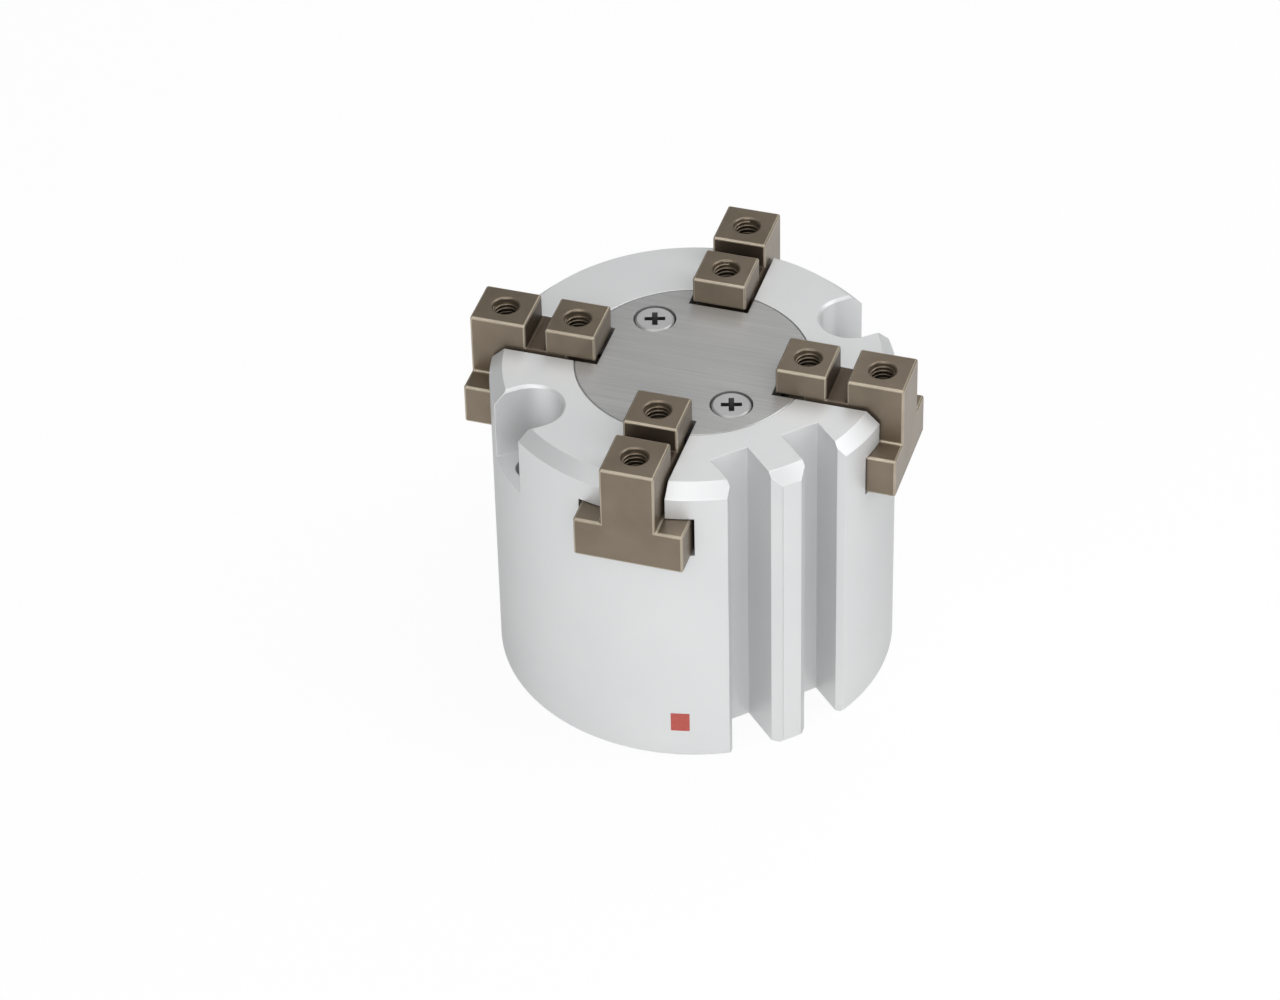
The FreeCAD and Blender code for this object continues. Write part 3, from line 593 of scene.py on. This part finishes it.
# Housing
def slot_cutters():
    """T-slots of the fingers, and the cam chamber with the deep slots where they meet the cam."""
    low = FOOT_Z - SLIDE_GAP
    high = FOOT_TOP + SLIDE_GAP
    top = BODY_H + OVER
    neck = NECK_HALF + SLOT_EASE
    foot = FOOT_HALF + SLIDE_GAP + SLOT_EASE
    tee = [(-foot, low), (foot, low), (foot, high), (neck, high), (neck, top), (-neck, top),
           (-neck, high), (-foot, high)]
    turns = FINGER_TURNS.values()
    made = [prism("tee_cutter", tee, SLOT_IN_R, BODY_R + OVER, "X", turn) for turn in turns]
    meet = math.asin(NECK_HALF / CHAMBER_R)
    corner = arc((meet, math.pi / 4, math.pi / 2 - meet), CHAMBER_R)
    arm = [Vector(point) for point in [(CAM_SLOT_R, -NECK_HALF), (CAM_SLOT_R, NECK_HALF)] + corner]
    cross = [Matrix.Rotation(math.radians(turn), 2) @ point for turn in turns for point in arm]
    made.append(prism("cam_cutter", cross, CHAMBER_Z, COVER_Z + OVER))
    return made


def bolt_cutters():
    """Bolt holes whose head seats are open at the side of the body."""
    half_turn = [math.pi * (0.5 + step / HOLE_STEPS) for step in range(HOLE_STEPS + 1)]
    out = BODY_R + OVER
    flared = NOTCH_R + NOTCH_EDGE + OVER
    levels = []
    for radius, height in ((NOTCH_R, NOTCH_Z), (NOTCH_R, BODY_H - NOTCH_EDGE), (flared, BODY_H + OVER)):
        levels.append((arc(half_turn, radius, BOLT_PITCH) + [(out, -radius), (out, radius)], height))
    hole = circle(BOLT_PITCH, 0, BOLT_HOLE_R)
    made = []
    for turn in (BOLT_TURN, BOLT_TURN + 180):
        made.append(stacked("seat_cutter", levels, "Z", turn))
        made.append(prism("bolt_cutter", hole, -OVER, BODY_H + OVER, "Z", turn))
    return made


def groove_cutters():
    """Sensor grooves down the whole side, with chamfered mouths and a rib between them."""
    side_edge = math.sqrt(BODY_R ** 2 - GROOVE_SIDE ** 2)
    rib_edge = math.sqrt(BODY_R ** 2 - RIB_HALF ** 2)
    out = BODY_R + GROOVE_CHAMFER + OVER
    made = []
    for sign in (1, -1):
        outline = [(GROOVE_FLOOR, RIB_HALF), (GROOVE_FLOOR, GROOVE_SIDE),
                   (side_edge - GROOVE_CHAMFER, GROOVE_SIDE),
                   (out, GROOVE_SIDE + GROOVE_CHAMFER + out - side_edge),
                   (out, RIB_HALF - GROOVE_CHAMFER), (rib_edge, RIB_HALF - GROOVE_CHAMFER),
                   (rib_edge - GROOVE_CHAMFER, RIB_HALF)]
        outline = [(along, sign * across) for along, across in outline]
        made.append(prism("groove_cutter", outline, -OVER, BODY_H + OVER, "Z", GROOVE_TURN))
    return made


def small_hole_cutters():
    """Holes under the cover, dowel holes in the base and the air ports with their passages."""
    made = []
    for sign in (1, -1):
        tap = circle(sign * COVER_PITCH, 0, SCREW_R + SEAT_GAP)
        made.append(prism("tap_cutter", tap, SCREW_TIP_Z - OVER, COVER_Z + OVER, "Z", COVER_TURN))
        dowel = circle(0, sign * COVER_PITCH, DOWEL_R + SEAT_GAP)
        made.append(prism("dowel_cutter", dowel, DOWEL_Z, COVER_Z + OVER, "Z", COVER_TURN))
        base = circle(0, sign * BASE_DOWEL_PITCH, BASE_DOWEL_R)
        made.append(prism("base_cutter", base, -OVER, BASE_DOWEL_DEEP))
    for height in PORT_HEIGHTS:
        port = circle(0, height, PORT_R)
        made.append(prism("port_cutter", port, BODY_R - PORT_DEPTH, BODY_R + OVER, "X", PORT_TURN))
        passage = circle(0, height, AIR_R)
        made.append(prism("air_cutter", passage, BORE_R - OVER, BODY_R, "X", PORT_TURN))
    return made


def make_housing():
    """Round body with all its slots, grooves and holes."""
    pocket_r = COVER_R + SEAT_GAP
    groove_top = ROD_GROOVE_Z + ROD_GROOVE_HIGH
    outside = [(BODY_R - BASE_CHAMFER, 0), (BODY_R, BASE_CHAMFER), (BODY_R, BODY_H - RIM_CHAMFER),
               (BODY_R - RIM_CHAMFER, BODY_H)]
    upper = [(pocket_r, BODY_H), (pocket_r, COVER_Z), (ROD_HOLE_R, COVER_Z)]
    rod_groove = [(ROD_HOLE_R, groove_top), (ROD_GROOVE_R, groove_top), (ROD_GROOVE_R, ROD_GROOVE_Z),
                  (ROD_HOLE_R, ROD_GROOVE_Z)]
    lower = [(ROD_HOLE_R, PARTITION_Z), (BORE_R, PARTITION_Z), (BORE_R, CAP_Z), (RING_GROOVE_R, CAP_Z),
             (RING_GROOVE_R, RING_RECESS), (BORE_R, RING_RECESS), (BORE_R, 0)]
    housing = turned("housing", outside + upper + rod_groove + lower)
    cutters = slot_cutters() + bolt_cutters() + groove_cutters() + small_hole_cutters()
    join_or_cut(housing, cutters, "DIFFERENCE")
    soften_edges(housing, BODY_EDGE, flat_at=BODY_H)
    to_metres(housing)
    paint(housing, ALUMINIUM)
    return housing


def make_cover():
    """Cover plate with its finger slots and screw seats, chamfered round the top."""
    rim = [(COVER_R, COVER_Z), (COVER_R, BODY_H - COVER_EDGE), (COVER_R - COVER_EDGE, BODY_H)]
    cover = stacked("cover", [(circle(0, 0, radius, ROUND_STEPS), level) for radius, level in rim])
    low = COVER_Z - OVER
    top = BODY_H + OVER
    neck = NECK_HALF + SLOT_EASE
    slot_in = SLOT_IN_R - SLOT_END_EASE
    flare = SLOT_EDGE + OVER
    slot = rectangle(slot_in, COVER_R + OVER, -neck, neck)
    wide = rectangle(slot_in - flare, COVER_R + OVER, -neck - flare, neck + flare)
    levels = [(slot, low), (slot, BODY_H - SLOT_EDGE), (wide, top)]
    cutters = [stacked("slot_cutter", levels, "Z", turn) for turn in FINGER_TURNS.values()]
    for sign in (1, -1):
        hole = circle(sign * COVER_PITCH, 0, SCREW_R + SEAT_GAP)
        cutters.append(prism("hole_cutter", hole, low, top, "Z", COVER_TURN))
        seat = circle(sign * COVER_PITCH, 0, SCREW_HEAD_R + SCREW_HEAD_GAP)
        cutters.append(prism("seat_cutter", seat, BODY_H - SCREW_HEAD_H, top, "Z", COVER_TURN))
        dowel = circle(0, sign * COVER_PITCH, DOWEL_R + SEAT_GAP)
        cutters.append(prism("dowel_cutter", dowel, low, DOWEL_TOP, "Z", COVER_TURN))
    join_or_cut(cover, cutters, "DIFFERENCE")
    sharpen(cover)
    to_metres(cover)
    paint(cover, COVER_GREY)
    return cover


def make_screw():
    """One cover screw on Z, with a cross recess in its head."""
    seat_z = BODY_H - SCREW_HEAD_H
    levels = [(SCREW_R - SCREW_EDGE, SCREW_TIP_Z), (SCREW_R, SCREW_TIP_Z + SCREW_EDGE), (SCREW_R, seat_z),
              (SCREW_HEAD_R, seat_z), (SCREW_HEAD_R, BODY_H - SCREW_EDGE),
              (SCREW_HEAD_R - SCREW_EDGE, BODY_H)]
    screw = stacked("screw", [(circle(0, 0, radius), level) for radius, level in levels])
    top = BODY_H + OVER
    floor = BODY_H - RECESS_DEEP
    tip = RECESS_LONG / 2
    foot = RECESS_FLOOR / 2
    half = RECESS_WIDE / 2
    arm = [(-tip, top), (-tip, BODY_H), (-foot, floor), (foot, floor), (tip, BODY_H), (tip, top)]
    arms = [prism("recess_cutter", arm, -half, half, "Y", RECESS_TURN + turn) for turn in (0, 90)]
    join_or_cut(screw, arms, "DIFFERENCE")
    sharpen(screw)
    # Flag the recess faces, which get a dark painted shade.
    in_recess = []
    for face in screw.data.polygons:
        below_top = floor - MERGE_GAP < face.center.z < BODY_H - MERGE_GAP
        in_recess.append(below_top and face.center.xy.length < tip)
    flag_faces(screw, "recess", in_recess)
    to_metres(screw)
    return screw


def make_mark():
    """Small patch of paint that follows the round side of the housing."""
    start = math.radians(MARK_TURN) - MARK_WIDE / 2 / BODY_R
    step = MARK_WIDE / MARK_STEPS / BODY_R
    angles = [start + step * index for index in range(MARK_STEPS + 1)]
    outline = arc(angles, BODY_R) + arc(reversed(angles), BODY_R + MARK_THICK)
    mark = prism("side_mark", outline, MARK_Z - MARK_HIGH / 2, MARK_Z + MARK_HIGH / 2)
    sharpen(mark)
    to_metres(mark)
    paint(mark, MARK_PAINT)
    return mark


# Fingers
def hook_cutters():
    """Inclined room for the head of the cam's rail, and for its web between the hook's lips."""
    low = HOOK_Z - OVER
    high = HOOK_TOP + OVER
    low_r = RAIL_LOW_R + WEDGE * OVER
    high_r = low_r - WEDGE * (high - low)
    rooms = (("rail_cutter", -RAIL_DEPTH - SLIDE_GAP, SLIDE_GAP, RAIL_HALF),
             ("web_cutter", -RAIL_DEPTH - LIP_DEPTH - OVER, -RAIL_DEPTH, WEB_HALF))
    made = []
    for name, near, far, half in rooms:
        outline = [(low_r + near, low), (low_r + far, low), (high_r + far, high), (high_r + near, high)]
        made.append(prism(name, outline, -half, half, "Y"))
    return made


def drill_cutters():
    """Jaw holes with the point that a drill leaves, blind in the outer pad and through the inner one."""
    made = []
    top = PAD_TOP + OVER
    for reach, deep in ((OUTER_HOLE_R, JAW_HOLE_DEEP), (INNER_HOLE_R, PAD_TOP - PAD_Z + OVER)):
        floor = PAD_TOP - deep
        section = [(0, floor - DRILL_POINT), (JAW_HOLE_R, floor), (JAW_HOLE_R, top), (0, top)]
        drill = turned("drill_cutter", section, HOLE_STEPS)
        drill.data.transform(Matrix.Translation((reach, 0, 0)))
        made.append(drill)
    return made


def flag_finger(finger):
    """Note the faces that line the cross slot, for a darker painted shade, and the rounded edges clear of
    it and of the holes, for edge wear with painted highlight.
    """
    slot_mid = (OUTER_IN_R + INNER_OUT_R) / 2
    slot_reach = KEY_SLOT / 2 + MERGE_GAP
    holes = [Vector((reach, 0)) for reach in (OUTER_HOLE_R, INNER_HOLE_R)]
    in_slot = []
    wear_and_highlight = []
    for face in finger.data.polygons:
        x, y, z = face.center
        between_pads = abs(x - slot_mid) < slot_reach and z > KEY_Z - FINGER_EDGE
        lines_slot = between_pads and abs(y) < FINGER_HALF - MERGE_GAP
        nearest = min((face.center.xy - hole).length for hole in holes)
        clear = nearest > JAW_HOLE_R + FINGER_EDGE and not lines_slot
        in_slot.append(lines_slot)
        wear_and_highlight.append(face.material_index == EDGE_MATERIAL and clear)
    flag_faces(finger, "key_slot", in_slot)
    flag_faces(finger, "worn_edge", wear_and_highlight)


def make_finger():
    """One finger pointing along X: pads, T foot, and the hook that holds the cam's rail."""
    pads = [(PAD_OUT_R, FOOT_Z), (PAD_OUT_R, PAD_TOP), (OUTER_IN_R, PAD_TOP), (OUTER_IN_R, KEY_Z),
            (INNER_OUT_R, KEY_Z), (INNER_OUT_R, PAD_TOP), (PAD_IN_R, PAD_TOP), (PAD_IN_R, PAD_Z)]
    stem = [(NECK_IN_R, PAD_Z), (NECK_IN_R, FOOT_TOP), (STEM_IN_R, FOOT_TOP), (STEM_IN_R, HOOK_TOP)]
    hook = [(HOOK_HIGH_R, HOOK_TOP), (HOOK_LOW_R, HOOK_Z), (HOOK_BACK_R, HOOK_Z), (HOOK_BACK_R, FOOT_Z)]
    finger = prism("finger", pads + stem + hook, -FINGER_HALF, FINGER_HALF, "Y")
    foot = prism("foot", rectangle(NECK_IN_R, PAD_OUT_R, FOOT_Z, FOOT_TOP), -FOOT_HALF, FOOT_HALF, "Y")
    join_or_cut(finger, [foot], "UNION")
    join_or_cut(finger, hook_cutters() + drill_cutters(), "DIFFERENCE")
    soften_edges(finger, FINGER_EDGE, mark_edges=True, fine_at=PAD_Z)
    flag_finger(finger)
    to_metres(finger)
    return finger


# Geometry nodes
THREAD_INPUTS = {"Radius": "Float", "Tooth": "Float", "Pitch": "Float", "Turns": "Float"}
HOLE_INPUTS = {"First Hole": "Vector", "Hole Step": "Vector"}


def new_tree(name, inputs):
    """An empty geometry tree with named inputs, and where it starts and ends."""
    tree = bpy.data.node_groups.new(name, "GeometryNodeTree")
    sockets = {}
    for label, kind in inputs.items():
        sockets[label] = tree.interface.new_socket(label, in_out="INPUT", socket_type="NodeSocket" + kind)
    tree.interface.new_socket("Geometry", in_out="OUTPUT", socket_type="NodeSocketGeometry")
    start = add(tree, "NodeGroupInput").outputs
    end = add(tree, "NodeGroupOutput").inputs[0]
    return tree, sockets, start, end


def pass_on(tree, start, node, labels):
    """Feed a group inside a tree from the tree's own inputs of the same names."""
    for label in labels:
        tree.links.new(start[label], node.inputs[label])


def set_finish(tree, geometry, finish, attribute=None):
    """Give geometry a finish, all over or on the faces that an attribute names."""
    inputs = {"Geometry": geometry, "Material": finish}
    if attribute is not None:
        chosen = add(tree, "GeometryNodeInputNamedAttribute", {"Name": attribute}, data_type="BOOLEAN")
        inputs["Selection"] = chosen.outputs["Attribute"]
    return add(tree, "GeometryNodeSetMaterial", inputs).outputs[0]


def grow(name, tree, sockets, settings):
    """Run a tree with its inputs set and keep what it makes as a plain mesh."""
    piece = bpy.data.objects.new(name, bpy.data.meshes.new(name))
    bpy.context.scene.collection.objects.link(piece)
    modifier = piece.modifiers.new(name, "NODES")
    modifier.node_group = tree
    for label, setting in settings.items():
        modifier[sockets[label].identifier] = setting
    settle(piece)
    return piece


def thread_tree():
    """A screw thread: a three-sided rib along a helix that climbs Z from nought."""
    tree, _, start, end = new_tree("screw_thread", THREAD_INPUTS)
    height = math_node(tree, "MULTIPLY", start["Pitch"], start["Turns"])
    helix = add(tree, "GeometryNodeCurveSpiral", {
        "Resolution": THREAD_STEPS, "Rotations": start["Turns"], "Start Radius": start["Radius"],
        "End Radius": start["Radius"], "Height": height})
    tooth = add(tree, "GeometryNodeCurvePrimitiveCircle", {
        "Resolution": THREAD_SIDES, "Radius": start["Tooth"]})
    rib = add(tree, "GeometryNodeCurveToMesh", {
        "Curve": helix.outputs[0], "Profile Curve": tooth.outputs[0], "Fill Caps": True})
    tree.links.new(rib.outputs[0], end)
    return tree


def pair_tree(thread):
    """Two equal threads, one in each of two holes that point the same way."""
    tree, sockets, start, end = new_tree("threads_in_two_holes", {
        **THREAD_INPUTS, **HOLE_INPUTS, "Aim": "Vector", "Finish": "Material"})
    rib = add(tree, "GeometryNodeGroup", node_tree=thread)
    pass_on(tree, start, rib, THREAD_INPUTS)
    holes = add(tree, "GeometryNodeMeshLine", {
        "Count": 2, "Start Location": start["First Hole"], "Offset": start["Hole Step"]})
    threads = add(tree, "GeometryNodeInstanceOnPoints", {
        "Points": holes.outputs[0], "Instance": rib.outputs[0], "Rotation": start["Aim"]})
    real = add(tree, "GeometryNodeRealizeInstances", {"Geometry": threads.outputs[0]})
    tree.links.new(set_finish(tree, real.outputs[0], start["Finish"]), end)
    return tree, sockets


def finger_tree(pair):
    """One finger turned to its place, with a thread in each of its two jaw holes."""
    tree, sockets, start, end = new_tree("finger_in_place", {
        "Finger": "Object", "Turn": "Vector", **THREAD_INPUTS, **HOLE_INPUTS, "Steel": "Material",
        "Edge Wear And Highlight": "Material", "Key Slot Painted Shade": "Material"})
    steel = add(tree, "GeometryNodeObjectInfo", {"Object": start["Finger"]})
    threads = add(tree, "GeometryNodeGroup", node_tree=pair)
    pass_on(tree, start, threads, {**THREAD_INPUTS, **HOLE_INPUTS})
    whole = add(tree, "GeometryNodeJoinGeometry")
    tree.links.new(steel.outputs["Geometry"], whole.inputs[0])
    tree.links.new(threads.outputs[0], whole.inputs[0])
    placed = add(tree, "GeometryNodeTransform", {"Geometry": whole.outputs[0], "Rotation": start["Turn"]})
    real = add(tree, "GeometryNodeRealizeInstances", {"Geometry": placed.outputs[0]})
    plain = set_finish(tree, real.outputs[0], start["Steel"])
    # Rounded edges clear of the holes and the slot get a lighter steel: edge wear and painted highlight.
    wear_and_highlight = set_finish(tree, plain, start["Edge Wear And Highlight"], "worn_edge")
    # The faces lining the cross slot get the darker painted shade.
    tree.links.new(set_finish(tree, wear_and_highlight, start["Key Slot Painted Shade"], "key_slot"), end)
    return tree, sockets


def ring_tree():
    """Copies of a piece spread evenly on a circle about Z."""
    tree, sockets, start, end = new_tree("copies_round_z", {
        "Piece": "Object", "Count": "Int", "Pitch Radius": "Float", "Turn": "Float", "Finish": "Material",
        "Recess Painted Shade": "Material"})
    piece = add(tree, "GeometryNodeObjectInfo", {"Object": start["Piece"]})
    index = add(tree, "GeometryNodeInputIndex").outputs[0]
    share = math_node(tree, "DIVIDE", index, start["Count"])
    angle = math_node(tree, "MULTIPLY_ADD", share, math.tau, start["Turn"])
    reach = {}
    for axis, operation in (("X", "COSINE"), ("Y", "SINE")):
        part = math_node(tree, operation, angle)
        reach[axis] = math_node(tree, "MULTIPLY", part, start["Pitch Radius"])
    place = add(tree, "ShaderNodeCombineXYZ", reach)
    spin = add(tree, "ShaderNodeCombineXYZ", {"Z": angle})
    points = add(tree, "GeometryNodePoints", {"Count": start["Count"], "Position": place.outputs[0]})
    copies = add(tree, "GeometryNodeInstanceOnPoints", {
        "Points": points.outputs[0], "Instance": piece.outputs["Geometry"], "Rotation": spin.outputs[0]})
    real = add(tree, "GeometryNodeRealizeInstances", {"Geometry": copies.outputs[0]})
    painted = set_finish(tree, real.outputs[0], start["Finish"])
    # The flagged recess faces get a dark painted shade.
    tree.links.new(set_finish(tree, painted, start["Recess Painted Shade"], "recess"), end)
    return tree, sockets


# The object
def dress(piece, body, slot, *nodes):
    """Let a piece ride on its body and stand for its solids."""
    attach(piece, body)
    if nodes:
        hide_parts(*nodes)


def build_housing(pair, pair_sockets):
    """Housing with its port threads and mark, cover and cover screws."""
    dress(make_housing(), "housing", "anodised_body", "body")
    dress(make_cover(), "housing", "cover_grey", "cover_plate")
    screw = make_screw()
    tree, sockets = ring_tree()
    screws = grow("cover_screws", tree, sockets, {
        "Piece": screw, "Count": 2, "Pitch Radius": COVER_PITCH * MM, "Turn": math.radians(COVER_TURN),
        "Finish": SCREW_STEEL, "Recess Painted Shade": RECESS_PAINTED_SHADE})
    drop(screw)
    dress(screws, "housing", "screw_steel", "cover_screw_front", "cover_screw_back")
    dress(make_mark(), "housing", "anodised_body")
    thread_in = BODY_R - BODY_EDGE - THREAD_TOOTH - PORT_THREAD_TURNS * PORT_THREAD_PITCH
    port_turn = math.radians(PORT_TURN)
    outward = Matrix.Rotation(port_turn, 3, "Z") @ Vector((thread_in, 0, 0))
    low_port, high_port = PORT_HEIGHTS
    threads = grow("port_threads", pair, pair_sockets, {
        "Radius": PORT_THREAD_R * MM, "Tooth": THREAD_TOOTH * MM, "Pitch": PORT_THREAD_PITCH * MM,
        "Turns": PORT_THREAD_TURNS, "First Hole": (outward + Vector((0, 0, low_port))) * MM,
        "Hole Step": (0, 0, (high_port - low_port) * MM), "Aim": (0, math.pi / 2, port_turn),
        "Finish": ALUMINIUM})
    dress(threads, "housing", "anodised_body")


def build_fingers(pair):
    """The four fingers, each on its own body."""
    pattern = make_finger()
    tree, sockets = finger_tree(pair)
    thread_low = PAD_TOP - FINGER_EDGE - THREAD_TOOTH - JAW_THREAD_TURNS * JAW_THREAD_PITCH
    first = Vector((INNER_HOLE_R, 0, thread_low)) * MM
    for name, turn in FINGER_TURNS.items():
        finger = grow(name + "_steel", tree, sockets, {
            "Finger": pattern, "Turn": (0, 0, math.radians(turn)), "Radius": JAW_THREAD_R * MM,
            "Tooth": THREAD_TOOTH * MM, "Pitch": JAW_THREAD_PITCH * MM, "Turns": JAW_THREAD_TURNS,
            "First Hole": first, "Hole Step": ((OUTER_HOLE_R - INNER_HOLE_R) * MM, 0, 0),
            "Steel": FINGER_STEEL, "Edge Wear And Highlight": FINGER_WEAR_AND_HIGHLIGHT, "Key Slot Painted Shade": FINGER_SLOT_PAINTED_SHADE})
        dress(finger, name, "finger_steel", name)
    drop(pattern)


def finish_inner_pieces():
    """Finishes of the pieces that keep their own solids."""
    finishes = {
        BRIGHT_STEEL: ("cover_dowel_right", "cover_dowel_left", "piston_rod"),
        TURNED_ALUMINIUM: ("end_cap", "piston"),
        SPRING_STEEL: ("retaining_ring",),
        SEAL_RUBBER: ("end_cap_seal", "piston_seal", "rod_seal"),
        MAGNET_BLACK: ("magnet_ring",),
        SCREW_STEEL: ("piston_screw", "cam_screw"),
        CAM_STEEL: ("wedge_cam",),
    }
    for finish, names in finishes.items():
        for name in names:
            paint(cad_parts[name], finish)


# Studio
def make_floor():
    """Pale floor that runs out of the picture."""
    shape = bmesh.new()
    place = Matrix.Translation((0, 0, -FLOOR_GAP))
    bmesh.ops.create_grid(shape, x_segments=8, y_segments=8, size=FLOOR_REACH, matrix=place)
    floor = as_object(shape, "floor")
    finish, tree, shader, _ = new_finish("floor_white")
    shader.inputs["Base Color"].default_value = FLOOR_PALE
    shader.inputs["Roughness"].default_value = FLOOR_ROUGH
    glow = add(tree, "ShaderNodeEmission", {"Color": WHITE, "Strength": 1.0})
    path = add(tree, "ShaderNodeLightPath").outputs
    seen = math_node(tree, "MAXIMUM", path["Is Camera Ray"], path["Is Glossy Ray"])
    seen = math_node(tree, "MAXIMUM", seen, path["Is Transmission Ray"])
    share = math_node(tree, "MULTIPLY", seen, FLOOR_GLOW)
    mix = add(tree, "ShaderNodeMixShader", {0: share, 1: shader.outputs[0], 2: glow.outputs[0]})
    tree.links.new(mix.outputs[0], tree.nodes["Material Output"].inputs["Surface"])
    paint(floor, finish)


def make_light(name, azimuth, height, size, power):
    """A soft square lamp that looks at the object from a direction."""
    lamp = bpy.data.lights.new(name, "AREA")
    lamp.size = size
    lamp.energy = power
    holder = bpy.data.objects.new(name, lamp)
    bpy.context.scene.collection.objects.link(holder)
    raised = Matrix.Rotation(-math.radians(height), 3, "Y") @ Vector((1, 0, 0))
    away = Matrix.Rotation(math.radians(azimuth), 3, "Z") @ raised
    holder.location = LAMP_AIM + away * LAMP_REACH
    holder.rotation_euler = (-away).to_track_quat("-Z", "Y").to_euler()


def make_world():
    """Pale surroundings, brighter in front and towards the horizon than behind and overhead."""
    world = bpy.data.worlds.new("studio")
    bpy.context.scene.world = world
    world.use_nodes = True
    tree = world.node_tree
    toward = add(tree, "ShaderNodeTexCoord").outputs["Generated"]
    height = add(tree, "ShaderNodeSeparateXYZ", {0: toward}).outputs["Z"]
    fade = add(tree, "ShaderNodeMapRange", {
        "Value": height, "From Min": 0.2, "From Max": 0.75, "To Min": 0.3, "To Max": 0.15},
        interpolation_type="SMOOTHSTEP")
    facing = add(tree, "ShaderNodeVectorMath", {0: toward, 1: WORLD_FRONT}, operation="DOT_PRODUCT")
    front = add(tree, "ShaderNodeMapRange", {
        "Value": facing.outputs["Value"], "From Min": -0.5, "From Max": 0.7, "To Min": 0.5, "To Max": 1.2})
    level = math_node(tree, "MULTIPLY", fade.outputs["Result"], front.outputs["Result"])
    tree.links.new(level, tree.nodes["Background"].inputs["Strength"])
    tree.nodes["Background"].inputs["Color"].default_value = WHITE


def make_camera():
    """Camera at the photograph's viewing angle."""
    back = Vector((math.sin(VIEW_AZIMUTH) * math.cos(VIEW_HEIGHT),
                   -math.cos(VIEW_AZIMUTH) * math.cos(VIEW_HEIGHT), math.sin(VIEW_HEIGHT)))
    right = Vector((math.cos(VIEW_AZIMUTH), math.sin(VIEW_AZIMUTH), 0))
    camera = bpy.data.objects.new("camera", bpy.data.cameras.new("camera"))
    bpy.context.scene.collection.objects.link(camera)
    camera.data.lens = LENS
    camera.data.sensor_width = SENSOR_WIDE
    camera.data.clip_start = VIEW_NEAR
    camera.location = VIEW_TARGET + back * VIEW_REACH
    aim = VIEW_TARGET + right * VIEW_SIDE + back.cross(right) * VIEW_UP
    level = (aim - camera.location).to_track_quat("-Z", "Y")
    camera.rotation_euler = (level @ Quaternion((0, 0, 1), VIEW_ROLL)).to_euler()
    bpy.context.scene.camera = camera


thread_pair, pair_sockets = pair_tree(thread_tree())
build_housing(thread_pair, pair_sockets)
build_fingers(thread_pair)
finish_inner_pieces()
make_floor()
make_world()
for lamp_row in LAMPS:
    make_light(*lamp_row)
make_camera()
bpy.context.scene.view_settings.view_transform = "Standard"
